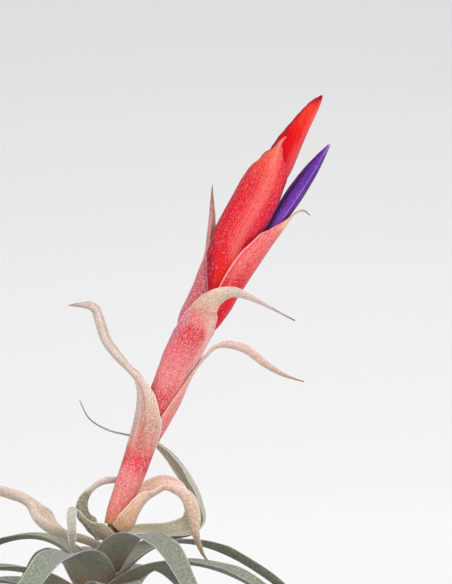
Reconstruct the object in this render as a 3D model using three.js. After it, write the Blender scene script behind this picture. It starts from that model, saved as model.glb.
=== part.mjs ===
// Air plant in flower: a leaf rosette, a scape wrapped in bracts, and a spike with one violet flower.
// Millimetres, +Z up. The origin is the middle of the flat foot of the stem. +X is the side to which
// the spike leans, and -Y is the side from which the plant is usually seen.

import * as THREE from 'three';

// Overall sizes
const STEM_FOOT_RADIUS = 7.6;
const LEAF_COUNT = 24;
const LOWEST_LEAF_HEIGHT = 2.8;
const LEAF_SPACING = 1.42;
const ROSETTE_RADIUS = 100;
const GOLDEN_ANGLE = 137.508;
const FIRST_LEAF_AZIMUTH = 20;

// How the rosette changes from its lowest leaf to its highest: the angle from upright at which a leaf
// leaves the stem, how far it keeps that course, the height of its tip, the angle below level at which
// the tip points, how far back that course reaches, and the half widths of its sheath and of its neck.
const LEAF_LEAN = [66, 29];
const LEAF_RISE = [40, 27];
const LEAF_TIP_HEIGHT = [-12, 14];
const LEAF_DROOP = [16, 48];
const LEAF_FALL = [34, 24];
const SHEATH_HALF_WIDTH = [12, 6.6];
const NECK_HALF_WIDTH = [8.6, 5.4];
const TIP_HALF_WIDTH = 0.45;
const HIGHEST_LEAF_REACH = 0.62;
const SHEATH_SHARE = 0.2;
const WIDEST_WRAP = 76;
const GAP_TO_STEM = 0.35;

// Wall thicknesses
const LEAF_THICKNESS = 0.55;
const BRACT_THICKNESS = 0.36;
const SEPAL_THICKNESS = 0.2;
const PETAL_THICKNESS = 0.26;

// Facets along and across each kind of piece
const LEAF_ROWS = 9;
const LEAF_COLUMNS = 6;
const UPPER_LEAF_ROWS = 14;
const BRACT_ROWS = 16;
const PETAL_COLUMNS = 6;
const STEM_SIDES = 14;

// The line that the stem and the spike follow, from the foot to the end of the axis inside the spike.
const spikeAxis = new THREE.CatmullRomCurve3([
  new THREE.Vector3(0, 0, 0),
  new THREE.Vector3(0, 0, 9),
  new THREE.Vector3(0, 0, 18),
  new THREE.Vector3(0.7, 0, 27),
  new THREE.Vector3(2.6, 0, 38),
  new THREE.Vector3(5.2, 0, 48.6),
  new THREE.Vector3(11.8, 0, 67.2),
  new THREE.Vector3(17.8, 0, 80.6),
  new THREE.Vector3(25.1, 0, 96),
  new THREE.Vector3(29.2, 0, 103.4),
]);

// The middle of the bud that the upper floral bracts form, and the middle of the open flower.
const budAxis = new THREE.CatmullRomCurve3([
  new THREE.Vector3(22.9, 0, 91),
  new THREE.Vector3(27.8, 0, 103.2),
  new THREE.Vector3(31.8, 0, 112.1),
  new THREE.Vector3(34.6, 0, 117.6),
  new THREE.Vector3(38.3, 0, 124.8),
  new THREE.Vector3(41.2, 0, 130.6),
  new THREE.Vector3(43.5, 0, 134.4),
  new THREE.Vector3(46.6, 0, 139.2),
  new THREE.Vector3(49.7, 0, 144),
  new THREE.Vector3(54.4, 0, 149.7),
]);
const flowerAxis = new THREE.CatmullRomCurve3([
  new THREE.Vector3(33.2, 0, 102.1),
  new THREE.Vector3(37.2, 0.4, 109.4),
  new THREE.Vector3(42.3, 0.8, 117.6),
  new THREE.Vector3(48, 1, 126.2),
  new THREE.Vector3(52.1, 0.6, 132.2),
  new THREE.Vector3(54.5, 0, 135.6),
  new THREE.Vector3(56.5, 0, 138.3),
]);

const radians = THREE.MathUtils.degToRad;
const mix = THREE.MathUtils.lerp;
const between = ([low, high], share) => mix(low, high, share);

// Where an axis reaches a height, as the curve's own parameter.
function atHeight(axis, height) {
  let low = 0;
  let high = 1;
  while (high - low > 1e-5) {
    const middle = (low + high) / 2;
    if (axis.getPoint(middle).z < height) low = middle;
    else high = middle;
  }
  return low;
}

// A rib is one cross-section of a leaf or bract: where its midrib lies, which way its back faces, the
// radius of the channel that it forms, and how far it wraps to the left and right of the midrib, in
// degrees, for someone who looks at its back with the tip up.
function rib(point, outward, radius, left, right = left) {
  return {
    point: new THREE.Vector3(...point),
    outward: new THREE.Vector3(...outward).normalize(),
    radius,
    left,
    right,
  };
}

// A rib of a sheath, which wraps an axis at a height. Azimuth 0 is the right side, 90 the back, 180 the
// left and 270 the front. A shift moves the sheath's centre to the right of the axis.
function sheathRib(axis, height, azimuth, radius, left, right = left, shift = 0) {
  const t = atHeight(axis, height);
  const along = axis.getTangent(t);
  const rightward = new THREE.Vector3(along.z, 0, -along.x).normalize();
  const outward = rightward.clone().multiplyScalar(Math.cos(radians(azimuth)));
  outward.y = Math.sin(radians(azimuth));
  const point = axis.getPoint(t).addScaledVector(rightward, shift).addScaledVector(outward, radius);
  return { point, outward, radius, left, right };
}

// Cross-sections along the smooth line through the ribs, evenly spaced from the foot to the tip.
function sectionsThrough(ribs, rows) {
  const points = new THREE.CatmullRomCurve3(ribs.map((each) => each.point));
  const backs = new THREE.CatmullRomCurve3(ribs.map((each) => each.outward), false, 'catmullrom', 0.3);
  const wraps = ribs.map((each) => new THREE.Vector3(each.radius, each.left, each.right));
  const shapes = new THREE.CatmullRomCurve3(wraps, false, 'catmullrom', 0.2);
  const sections = [];
  for (let row = 0; row <= rows; row += 1) {
    const t = points.getUtoTmapping(row / rows);
    const along = points.getTangent(t);
    const outward = backs.getPoint(t);
    outward.addScaledVector(along, -outward.dot(along)).normalize();
    const sideways = new THREE.Vector3().crossVectors(along, outward);
    const [radius, left, right] = shapes.getPoint(t).toArray();
    const point = points.getPoint(t);
    sections.push({ point, outward, sideways, radius, left: radians(left), right: radians(right), slant: 0 });
  }
  return sections;
}

// A point on a section, at a share of its width from left to right and a depth under its back. The
// slant is the angle between the section's plane and the true cross-section.
function pointOnSection(section, across, depth) {
  const angle = mix(-section.left, section.right, across);
  const radius = section.radius - depth * Math.cos(section.slant);
  const along = new THREE.Vector3().crossVectors(section.outward, section.sideways);
  const point = section.point.clone().addScaledVector(section.outward, -section.radius);
  point.addScaledVector(section.outward, radius * Math.cos(angle));
  point.addScaledVector(section.sideways, radius * Math.sin(angle));
  return point.addScaledVector(along, depth * Math.sin(section.slant));
}

// The closed solid between the back and the inner face of a leaf, bract, sepal or petal.
function shellSolid(sections, columns, thickness) {
  const rows = sections.length - 1;
  const across = columns + 1;
  const positions = [];
  const faces = [];
  for (const depth of [0, thickness]) {
    for (const section of sections) {
      for (let column = 0; column < across; column += 1) {
        positions.push(...pointOnSection(section, column / columns, depth).toArray());
      }
    }
  }
  const back = (row, column) => row * across + column;
  const inner = (row, column) => (rows + 1) * across + back(row, column);
  const quad = (a, b, c, d) => faces.push(a, b, c, a, c, d);
  for (let row = 0; row < rows; row += 1) {
    for (let column = 0; column < columns; column += 1) {
      quad(back(row, column), back(row, column + 1), back(row + 1, column + 1), back(row + 1, column));
      quad(inner(row, column), inner(row + 1, column), inner(row + 1, column + 1), inner(row, column + 1));
    }
    quad(back(row, 0), back(row + 1, 0), inner(row + 1, 0), inner(row, 0));
    quad(back(row + 1, columns), back(row, columns), inner(row, columns), inner(row + 1, columns));
  }
  for (let column = 0; column < columns; column += 1) {
    quad(back(0, column + 1), back(0, column), inner(0, column), inner(0, column + 1));
    quad(back(rows, column), back(rows, column + 1), inner(rows, column + 1), inner(rows, column));
  }
  return closedGeometry(positions, faces);
}

function closedGeometry(positions, faces) {
  const geometry = new THREE.BufferGeometry();
  geometry.setAttribute('position', new THREE.Float32BufferAttribute(positions, 3));
  geometry.setIndex(faces);
  geometry.computeVertexNormals();
  return geometry;
}

// A round rod along a curve, with a radius for every ring, closed by a flat face at each end.
function rodGeometry(curve, radii, sides) {
  const positions = [];
  const faces = [];
  const last = radii.length - 1;
  radii.forEach((radius, ring) => {
    const along = curve.getTangentAt(ring / last);
    const right = new THREE.Vector3(along.z, 0, -along.x).normalize();
    const back = new THREE.Vector3().crossVectors(along, right);
    for (let side = 0; side < sides; side += 1) {
      const turn = (side / sides) * 2 * Math.PI;
      const point = curve.getPointAt(ring / last);
      point.addScaledVector(right, radius * Math.cos(turn));
      point.addScaledVector(back, radius * Math.sin(turn));
      positions.push(...point.toArray());
    }
  });
  for (let ring = 0; ring < last; ring += 1) {
    for (let side = 0; side < sides; side += 1) {
      const next = (side + 1) % sides;
      const low = ring * sides;
      const high = low + sides;
      faces.push(low + side, low + next, high + next, low + side, high + next, high + side);
    }
  }
  for (let side = 1; side < sides - 1; side += 1) {
    faces.push(0, side + 1, side);
    faces.push(last * sides, last * sides + side, last * sides + side + 1);
  }
  return closedGeometry(positions, faces);
}

// Materials, one for each kind of surface
function finish(color, roughness) {
  return new THREE.MeshStandardMaterial({ color, roughness, metalness: 0 });
}
const leafFinish = () => finish(0x9fa592, 0.85);
const paleBractFinish = () => finish(0xe9a597, 0.75);
const redBractFinish = () => finish(0xdd3038, 0.5);
const petalFinish = () => finish(0x6e32a0, 0.45);
const sepalFinish = () => finish(0xd77a6c, 0.6);
const stemFinish = () => finish(0xa9a27c, 0.8);
const filamentFinish = () => finish(0xe8dfc0, 0.6);

const plant = new THREE.Group();
plant.name = 'air_plant';

function add(name, geometry, material) {
  const mesh = new THREE.Mesh(geometry, material);
  mesh.name = name;
  plant.add(mesh);
}

// Stem: a short thick foot that carries the leaves, then the scape, then the axis inside the spike.
const STEM_STEPS = [
  { height: 0, radius: STEM_FOOT_RADIUS },
  { height: 8, radius: STEM_FOOT_RADIUS - 0.6 },
  { height: 26, radius: 4.4 },
  { height: 40, radius: 2 },
  { height: 52, radius: 1.45 },
  { height: 95, radius: 1.1 },
  { height: 104, radius: 0.7 },
];

function stemRadius(height) {
  const upper = Math.max(1, STEM_STEPS.findIndex((step) => step.height >= height));
  const low = STEM_STEPS[upper - 1];
  const high = STEM_STEPS[upper];
  return mix(low.radius, high.radius, (height - low.height) / (high.height - low.height));
}

function stemGeometry() {
  const rings = 24;
  const radii = [];
  for (let ring = 0; ring <= rings; ring += 1) {
    radii.push(stemRadius(spikeAxis.getPointAt(ring / rings).z));
  }
  return rodGeometry(spikeAxis, radii, STEM_SIDES);
}
add('stem', stemGeometry(), stemFinish());

// Rosette leaves: each leaves the stem as a broad sheath that lies on the cone of the leaf below, then
// narrows to a channelled, arching blade. Level 0 is the lowest leaf and level 1 the highest.
function leafProfile(index) {
  const level = index / (LEAF_COUNT - 1);
  const height = LOWEST_LEAF_HEIGHT + index * LEAF_SPACING;
  const start = new THREE.Vector2(stemRadius(height) + GAP_TO_STEM + LEAF_THICKNESS, height);
  const lengthChange = 1 + 0.06 * Math.sin(index * 1.9);
  const reach = ROSETTE_RADIUS * mix(1, HIGHEST_LEAF_REACH, level ** 1.5) * lengthChange;
  const tip = new THREE.Vector2(reach, Math.max(0, between(LEAF_TIP_HEIGHT, level)));
  const lean = radians(between(LEAF_LEAN, level));
  const droop = radians(between(LEAF_DROOP, level));
  const rise = new THREE.Vector2(Math.sin(lean), Math.cos(lean)).multiplyScalar(between(LEAF_RISE, level));
  const fall = new THREE.Vector2(-Math.cos(droop), Math.sin(droop)).multiplyScalar(between(LEAF_FALL, level));
  return new THREE.CubicBezierCurve(start, start.clone().add(rise), tip.clone().add(fall), tip);
}

function leafHalfWidth(share, level) {
  const neck = between(NECK_HALF_WIDTH, level);
  if (share < SHEATH_SHARE) return mix(between(SHEATH_HALF_WIDTH, level), neck, share / SHEATH_SHARE);
  return mix(neck, TIP_HALF_WIDTH, (share - SHEATH_SHARE) / (1 - SHEATH_SHARE));
}

function leafSection(profile, centre, azimuth, share, level) {
  const flat = profile.getPointAt(share);
  const slope = profile.getTangentAt(share);
  const steepness = Math.atan2(slope.x, slope.y);
  const tilt = steepness * Math.min(1, share / SHEATH_SHARE);
  const radial = new THREE.Vector3(Math.cos(azimuth), Math.sin(azimuth), 0);
  const outward = radial.clone().multiplyScalar(Math.cos(tilt)).setZ(-Math.sin(tilt));
  const halfWidth = leafHalfWidth(share, level);
  const channel = Math.max(1.2, halfWidth * 1.15);
  const radius = mix(flat.x, channel, Math.min(1, share / (2 * SHEATH_SHARE)));
  const wrap = Math.min(radians(WIDEST_WRAP), halfWidth / radius);
  return {
    point: radial.multiplyScalar(flat.x).add(centre).setZ(flat.y),
    outward,
    sideways: new THREE.Vector3(-Math.sin(azimuth), Math.cos(azimuth), 0),
    radius,
    left: wrap,
    right: wrap,
    slant: steepness - tilt,
  };
}

function leafSections(index) {
  const level = index / (LEAF_COUNT - 1);
  const profile = leafProfile(index);
  const centre = spikeAxis.getPoint(atHeight(spikeAxis, profile.v0.y));
  const azimuth = radians(FIRST_LEAF_AZIMUTH + index * GOLDEN_ANGLE);
  const sweep = radians(7 * Math.sin(index * 2.4));
  const sections = [];
  for (let row = 0; row <= LEAF_ROWS; row += 1) {
    const share = row / LEAF_ROWS;
    sections.push(leafSection(profile, centre, azimuth + sweep * share * share, share, level));
  }
  return sections;
}

for (let index = 0; index < LEAF_COUNT; index += 1) {
  const name = `leaf_${String(index + 1).padStart(2, '0')}`;
  add(name, shellSolid(leafSections(index), LEAF_COLUMNS, LEAF_THICKNESS), leafFinish());
}

// Upper leaves: the youngest leaves, which stand up round the scape and curl over.
function addUpperLeaf(name, ribs) {
  add(name, shellSolid(sectionsThrough(ribs, UPPER_LEAF_ROWS), LEAF_COLUMNS, LEAF_THICKNESS), leafFinish());
}

addUpperLeaf('upper_leaf_green', [
  sheathRib(spikeAxis, 38, 52, 3.1, 62),
  rib([5.6, 5.4, 42.2], [0.5, 0.5, -0.6], 4.2, 56),
  rib([11, 9, 43.6], [0.3, 0.4, -0.9], 4.6, 56),
  rib([18, 11.6, 43.4], [0.2, 0.5, -0.9], 4.4, 60),
  rib([23.6, 12.4, 45], [0.6, 0.6, -0.5], 4.1, 66),
  rib([25.7, 12, 48.6], [0.74, 0.67, 0.09], 3.7, 75),
  rib([25.3, 11.2, 51.7], [0.775, 0.6, 0.2], 3.2, 81),
  rib([24.4, 10.4, 55], [0.76, 0.54, 0.35], 2.65, 85),
  rib([22.5, 9.4, 58.6], [0.7, 0.48, 0.5], 2.2, 88),
  rib([20.8, 9, 61], [0.63, 0.57, 0.52], 2, 86),
  rib([18.2, 8, 64], [0.54, 0.5, 0.62], 1.65, 84),
  rib([15.3, 7.4, 66.2], [0.4, 0.4, 0.8], 1.3, 76),
  rib([12, 7, 67.5], [0.2, 0.2, 0.95], 0.8, 66),
  rib([7.4, 6.4, 68.5], [0.1, 0, 1], 0.5, 50),
  rib([3.2, 5.8, 69.5], [0.3, 0, 0.95], 0.45, 46),
  rib([-1.5, 5.2, 72.35], [0.7, 0, 0.7], 0.4, 46),
  rib([-3.8, 4.8, 76.8], [0.95, 0, 0.3], 0.4, 30),
]);

addUpperLeaf('upper_leaf_far_left', [
  sheathRib(spikeAxis, 40.6, 205, 3, 62, 46),
  rib([-2.6, -2.4, 42.4], [-0.7, -0.3, -0.6], 3.9, 56),
  rib([-6.6, -3.6, 43.6], [-0.35, -0.1, -0.9], 3.8, 64),
  rib([-11, -4.4, 45], [-0.55, 0.1, -0.8], 3.9, 80),
  rib([-14.4, -4.6, 48.1], [-0.73, 0.34, -0.58], 3.5, 94),
  rib([-15.4, -5, 50], [-0.67, 0.39, -0.63], 2.8, 87),
  rib([-16.5, -5.7, 51.8], [-0.41, 0.17, -0.89], 2.3, 90),
  rib([-20.7, -6.6, 53.5], [-0.3, 0.09, -0.95], 2.2, 96),
  rib([-26, -7.6, 54.9], [-0.1, 0, -1], 2.1, 92),
  rib([-34, -9, 54], [0.25, -0.1, -0.95], 1.9, 80),
  rib([-46, -10.6, 48.8], [0.5, -0.2, -0.85], 1.8, 66),
  rib([-58, -12, 40], [0.7, -0.2, -0.7], 1.5, 54),
  rib([-67, -12.8, 30], [0.8, -0.1, -0.55], 1, 42),
  rib([-72, -13, 22], [0.85, 0, -0.5], 0.8, 24),
]);

addUpperLeaf('upper_leaf_left_arch', [
  sheathRib(spikeAxis, 42.2, 165, 3, 58, 40),
  rib([-1.3, -0.6, 45.2], [-0.7, -0.7, -0.1], 2.8, 50, 44),
  rib([-1.9, -2.2, 48], [0, -1, -0.1], 2.5, 64),
  rib([-1.8, -2, 50.6], [0.75, -0.6, 0], 2.3, 80),
  rib([-1.6, 0.4, 53], [0.95, 0.3, -0.15], 1.9, 88),
  rib([-0.5, 1.6, 54.9], [0.78, 0.1, -0.6], 1.7, 82),
  rib([1.8, 2.8, 56.4], [0.4, -0.2, -0.9], 1.6, 80),
  rib([5.4, 4, 56.8], [0, -0.25, -0.97], 1.5, 76),
  rib([9.4, 5, 56.6], [-0.1, -0.25, -0.97], 1.1, 60),
  rib([13, 5.6, 56], [-0.2, -0.2, -0.95], 0.8, 26),
]);

addUpperLeaf('upper_leaf_front_left', [
  sheathRib(spikeAxis, 43, 252, 3, 38, 58),
  rib([1.4, -5.6, 45.4], [-0.1, -0.9, -0.5], 2.8, 46),
  rib([-1.4, -7.4, 47], [-0.4, -0.3, -0.85], 2.2, 54),
  rib([-3.6, -8.6, 49.4], [-0.6, 0.2, -0.75], 1.6, 60),
  rib([-4.9, -10.4, 50.5], [-0.1, 0.6, -0.75], 1.5, 62),
  rib([-5.2, -13.4, 49.1], [0, 0.85, -0.5], 1.45, 60),
  rib([-5, -16, 45], [0, 0.9, -0.4], 1.35, 54),
  rib([-4.8, -18.4, 42.6], [0, 0.8, -0.6], 1.1, 40),
  rib([-4.6, -20.8, 41], [0, 0.7, -0.7], 0.8, 24),
]);

addUpperLeaf('upper_leaf_front_arch', [
  sheathRib(spikeAxis, 45, 350, 3.05, 96),
  sheathRib(spikeAxis, 48.2, 352, 4.4, 80, 80, 0.2),
  rib([10.8, 0.3, 50], [0.8, 0.07, -0.6], 3.75, 88),
  rib([13, 2.4, 53.3], [0.51, 0.53, -0.68], 2.8, 100, 96),
  rib([16.8, 2.1, 55.5], [0, 0.67, -0.74], 2.2, 102),
  rib([19, 0.7, 54.4], [-0.33, 0.31, -0.89], 2.3, 92),
  rib([20.3, -0.7, 53.4], [-0.74, -0.17, -0.65], 2.4, 84),
  rib([21.5, -2.2, 51.8], [-0.74, -0.57, -0.35], 2.6, 80),
  rib([22.5, -2.4, 48.8], [-0.78, -0.57, -0.25], 2.35, 80),
  rib([23.3, -2.7, 45], [-0.85, -0.4, -0.3], 2, 74),
  rib([24.6, -2.9, 41.6], [-0.75, -0.25, -0.6], 1.6, 60),
  rib([26.6, -2.9, 38.6], [-0.5, -0.1, -0.85], 1.1, 44),
  rib([29.4, -2.9, 36.8], [-0.3, -0.1, -0.95], 0.8, 24),
]);

// Scape bracts: each wraps the scape as a tight sheath, then ends in a narrow channelled blade.
function addBract(name, columns, material, ribs) {
  add(name, shellSolid(sectionsThrough(ribs, BRACT_ROWS), columns, BRACT_THICKNESS), material);
}

addBract('scape_bract_left', 12, paleBractFinish(), [
  sheathRib(spikeAxis, 46.6, 190, 2.4, 168, 168, -0.1),
  sheathRib(spikeAxis, 50, 190, 2.6, 170, 170, -0.2),
  sheathRib(spikeAxis, 54.7, 190, 2.87, 170, 170, 0.05),
  sheathRib(spikeAxis, 58, 190, 3.15, 168, 168, 0.2),
  sheathRib(spikeAxis, 62, 190, 3.3, 162, 162, 0.2),
  sheathRib(spikeAxis, 65, 190, 3.5, 152, 152, 0.1),
  sheathRib(spikeAxis, 67.2, 190, 3.72, 139, 139, 0.12),
  sheathRib(spikeAxis, 69.5, 190, 4, 128, 128, 0.07),
  sheathRib(spikeAxis, 71.5, 190, 4.3, 115, 115, -0.09),
  rib([10, -0.8, 74.9], [-0.97, -0.2, 0], 4.2, 100),
  rib([10.2, -1, 77.5], [-0.97, -0.2, 0], 3.9, 92),
  rib([10.1, -1, 79.4], [-0.95, -0.2, -0.2], 3, 87),
  rib([9.4, -0.8, 81.7], [-0.86, 0.05, -0.5], 1.8, 92),
  rib([7.7, -1, 83.8], [-0.72, 0.16, -0.67], 1.35, 97),
  rib([4.9, -1.3, 86.5], [-0.73, 0.2, -0.65], 1.75, 100),
  rib([1.7, -1.8, 90.7], [-0.85, 0.2, -0.49], 1.8, 100),
  rib([0, -2.4, 95.8], [-0.94, 0.2, -0.27], 1.7, 100),
  rib([-0.9, -2.7, 98.3], [-0.69, 0.2, -0.69], 1.6, 100),
  rib([-3.1, -3.2, 99], [0, 0.2, -0.98], 1.1, 95),
  rib([-4.8, -3.4, 99.3], [0.05, 0.2, -0.98], 0.8, 80),
  rib([-6.4, -3.5, 99.5], [0.05, 0.2, -0.98], 0.5, 36),
]);

addBract('scape_bract_right', 10, paleBractFinish(), [
  sheathRib(spikeAxis, 56.6, 12, 2.05, 165),
  sheathRib(spikeAxis, 61.5, 12, 2.45, 162),
  sheathRib(spikeAxis, 65, 12, 2.8, 150, 150, 0.15),
  sheathRib(spikeAxis, 67.2, 12, 3.02, 138, 138, 0.3),
  sheathRib(spikeAxis, 69.5, 12, 3.22, 110, 110, 0.42),
  sheathRib(spikeAxis, 71.5, 12, 3.42, 92, 92, 0.53),
  sheathRib(spikeAxis, 74.4, 12, 3.75, 81, 81, 0.48),
  sheathRib(spikeAxis, 77.5, 12, 4.1, 75, 75, 0.35),
  sheathRib(spikeAxis, 80.4, 12, 4.05, 64, 64, 0.35),
  sheathRib(spikeAxis, 83, 12, 4.2, 48, 48, 0.1),
  rib([25.2, 1.2, 85.2], [0.85, 0.15, -0.5], 4.6, 33),
  rib([27.1, 1.2, 87.3], [0.75, 0, -0.65], 3, 38),
  rib([28.9, 1.2, 89], [0.4, -0.1, -0.9], 1.3, 72),
  rib([31.8, 1, 89.3], [-0.1, -0.3, -0.95], 1.6, 84),
  rib([36, 0.7, 88], [-0.5, -0.3, -0.85], 1.75, 84),
  rib([40.3, 0.3, 84.9], [-0.55, -0.3, -0.8], 1.5, 82),
  rib([45, -0.2, 82.5], [-0.4, -0.3, -0.9], 1.1, 74),
  rib([50.2, -0.8, 81.1], [-0.25, -0.3, -0.9], 0.6, 36),
]);

addBract('scape_bract_front', 12, paleBractFinish(), [
  sheathRib(spikeAxis, 64.5, 268, 1.95, 165),
  sheathRib(spikeAxis, 70, 268, 2.45, 165, 165, 0.22),
  sheathRib(spikeAxis, 74.4, 268, 3.45, 165, 165, -0.25),
  sheathRib(spikeAxis, 77.5, 268, 3.6, 165, 165, -0.12),
  sheathRib(spikeAxis, 80.6, 268, 3.8, 164, 164, -0.1),
  sheathRib(spikeAxis, 83, 268, 3.92, 163, 163, -0.25),
  sheathRib(spikeAxis, 86, 268, 4.3, 158, 156, -0.24),
  sheathRib(spikeAxis, 88.5, 268, 4.38, 120, 140, -0.15),
  sheathRib(spikeAxis, 91, 268, 4.5, 78, 112, -0.15),
  sheathRib(spikeAxis, 93.4, 268, 4.85, 52, 92, -0.25),
  sheathRib(spikeAxis, 95.4, 268, 5.25, 44, 62, -0.2),
  sheathRib(spikeAxis, 97, 268, 5.6, 36, 45),
  rib([26.4, -7, 98.9], [0, -0.95, 0.1], 4.3, 42),
  rib([28.8, -8.6, 101], [0, -0.85, -0.4], 3.2, 45),
  rib([32.8, -9.8, 102.2], [-0.1, -0.75, -0.65], 2.2, 50),
  rib([37, -10.4, 101], [-0.3, -0.6, -0.75], 1.5, 56),
  rib([41.7, -10.2, 98.9], [-0.35, -0.55, -0.8], 0.85, 52),
  rib([47.9, -9.6, 95.8], [-0.35, -0.55, -0.8], 0.5, 36),
]);

// Floral bracts: red and boat shaped, rolled round each other and round the open flower.
addBract('floral_bract_right', 10, redBractFinish(), [
  sheathRib(spikeAxis, 86.5, 0, 2.6, 112),
  sheathRib(spikeAxis, 90, 0, 3.3, 102, 102, 0.15),
  sheathRib(spikeAxis, 93.4, 0, 3.65, 96, 96, 0.25),
  sheathRib(spikeAxis, 95.4, 0, 4.05, 92, 92, 0.42),
  sheathRib(spikeAxis, 97, 0, 4.5, 86, 86, 0.45),
  sheathRib(spikeAxis, 99, 0, 4.9, 86, 86, 0.35),
  sheathRib(spikeAxis, 101, 0, 5.2, 86, 86, 0.3),
  rib([33.9, 0, 100.6], [0.89, 0, -0.45], 5.5, 88),
  rib([36.6, 0, 104.9], [0.88, 0, -0.47], 5.6, 90),
  rib([39.2, 0, 108.8], [0.88, 0, -0.48], 5.4, 92),
  rib([42.4, 0, 113.6], [0.87, 0, -0.5], 4.4, 88, 84),
  rib([44.4, 0.2, 116.4], [0.86, 0, -0.52], 2.9, 82, 72),
  rib([45.9, 0.4, 118.5], [0.86, 0, -0.52], 2.2, 70, 44),
  rib([47.15, 0.4, 120.4], [0.8, 0, -0.6], 1.35, 58, 30),
  rib([48.5, 0, 121.6], [0.5, 0, -0.85], 0.85, 66),
  rib([50.1, 0, 122], [-0.05, 0, -1], 0.75, 66),
  rib([51.6, 0, 121], [-0.85, 0, -0.5], 0.5, 40),
]);

addBract('floral_bract_front', 10, redBractFinish(), [
  sheathRib(budAxis, 94, 280, 2.6, 30, 70),
  sheathRib(budAxis, 96, 288, 3.5, 24, 70),
  sheathRib(budAxis, 98, 292, 4.3, 24, 68, -0.1),
  sheathRib(budAxis, 100.5, 298, 4.7, 32, 62, -0.25),
  sheathRib(budAxis, 103.2, 298, 4.9, 33, 63, -0.35),
  sheathRib(budAxis, 105.5, 288, 5.1, 36, 74, -0.35),
  sheathRib(budAxis, 108, 275, 5.2, 40, 86, -0.25),
  sheathRib(budAxis, 110, 268, 5.1, 52, 92, -0.1),
  sheathRib(budAxis, 112.1, 262, 4.9, 80, 92, 0.12),
  sheathRib(budAxis, 115, 262, 5.17, 96, 90, -0.17),
  sheathRib(budAxis, 117.6, 262, 5.35, 100, 90, -0.14),
  sheathRib(budAxis, 121, 262, 5.55, 104, 90, 0.13),
  sheathRib(budAxis, 124.8, 262, 5.46, 106, 92, 0.2),
  sheathRib(budAxis, 127.5, 262, 5.35, 104, 95, 0.18),
  sheathRib(budAxis, 130.6, 261, 5, 98, 90, 0.14),
  sheathRib(budAxis, 132.5, 256, 4.68, 92, 78, 0.2),
  sheathRib(budAxis, 134.4, 244, 4.3, 70, 56, 0.55),
  sheathRib(budAxis, 136, 240, 3.9, 34, 27, 0.72),
  sheathRib(budAxis, 137.6, 234, 3.6, 13, 11, 0.66),
  sheathRib(budAxis, 139.4, 241, 3.4, 4, 4, 0.6),
]);

addBract('floral_bract_back', 6, redBractFinish(), [
  sheathRib(spikeAxis, 87.5, 150, 2.2, 60, 70, -0.5),
  sheathRib(spikeAxis, 91, 154, 2.75, 80, 90, -1),
  sheathRib(spikeAxis, 93.4, 156, 3.2, 90, 98, -1.3),
  sheathRib(spikeAxis, 95.4, 158, 3.55, 100, 104, -1.5),
  sheathRib(spikeAxis, 99, 160, 3.7, 104, 108, -1.55),
  sheathRib(budAxis, 103.2, 163, 3.9, 88, 112, -0.6),
  sheathRib(budAxis, 105.5, 160, 3.75, 76, 100, -0.9),
  sheathRib(budAxis, 108, 157, 3.55, 70, 86, -1.2),
  rib([26.5, 2.3, 112.5], [-0.9, 0.35, 0.16], 2.7, 72, 68),
  rib([26.8, 2.9, 114.8], [-0.9, 0.41, 0.1], 2, 84),
  rib([27.05, 2.9, 117.4], [-0.9, 0.42, 0.08], 1.45, 92),
  rib([27.4, 2.9, 120.7], [-0.91, 0.4, 0.05], 1.1, 94),
  rib([27.65, 2.7, 123.8], [-0.91, 0.4, 0.05], 0.8, 90),
  rib([27.9, 2.5, 126.7], [-0.92, 0.35, 0.05], 0.5, 75),
  rib([28.15, 2.4, 128.5], [-0.92, 0.35, 0.05], 0.35, 30),
]);

addBract('floral_bract_top', 12, redBractFinish(), [
  sheathRib(budAxis, 99, 2, 2.3, 160),
  sheathRib(budAxis, 105, 2, 3.2, 168),
  sheathRib(budAxis, 112.1, 2, 3.9, 172, 172, 0.1),
  sheathRib(budAxis, 117.6, 2, 4.2, 174, 174, 0.2),
  sheathRib(budAxis, 124.8, 2, 4.4, 175, 175, 0.5),
  sheathRib(budAxis, 127.5, 2, 4.3, 175, 175, 0.6),
  sheathRib(budAxis, 130.6, 2, 3.92, 175, 175, 0.72),
  sheathRib(budAxis, 132.5, 2, 3.7, 175, 175, 0.93),
  sheathRib(budAxis, 134.4, 2, 3.54, 175, 175, 0.94),
  sheathRib(budAxis, 137, 2, 3.35, 175, 175, 0.62),
  sheathRib(budAxis, 139.2, 2, 2.97, 174, 174, 0.48),
  sheathRib(budAxis, 141.5, 2, 2.55, 174, 174, 0.47),
  sheathRib(budAxis, 144, 2, 2.18, 173, 173, 0.34),
  sheathRib(budAxis, 146, 2, 1.86, 172, 172, 0.13),
  sheathRib(budAxis, 147.6, 2, 1.45, 170, 170, -0.05),
  sheathRib(budAxis, 149, 2, 0.85, 160, 160, -0.1),
  rib([54.75, 0, 149.9], [0.92, 0, -0.39], 0.35, 120),
]);

// Flower: three sepals round the foot of three petals, which are rolled into a closed pointed tube.
// The petals hide six stamens round one pistil.
const FLOWER_PARTS = 3;
const STAMENS = 6;

function addFlowerWhorl(name, firstAzimuth, halfWrap, steps, thickness, material) {
  for (let part = 0; part < FLOWER_PARTS; part += 1) {
    const azimuth = firstAzimuth + (part * 360) / FLOWER_PARTS;
    const ribs = steps.map(([height, radius]) => sheathRib(flowerAxis, height, azimuth, radius, halfWrap));
    const sections = sectionsThrough(ribs, steps.length * 2);
    add(`${name}_${part + 1}`, shellSolid(sections, PETAL_COLUMNS, thickness), material());
  }
}

addFlowerWhorl('petal', 350, 57, [
  [104.5, 0.5],
  [109.2, 0.75],
  [113.4, 1.05],
  [117.5, 1.4],
  [122, 1.95],
  [126.2, 2.1],
  [129.6, 1.9],
  [132.2, 1.62],
  [135.2, 1],
  [137, 0.5],
  [138.2, 0.2],
], PETAL_THICKNESS, petalFinish);

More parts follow.
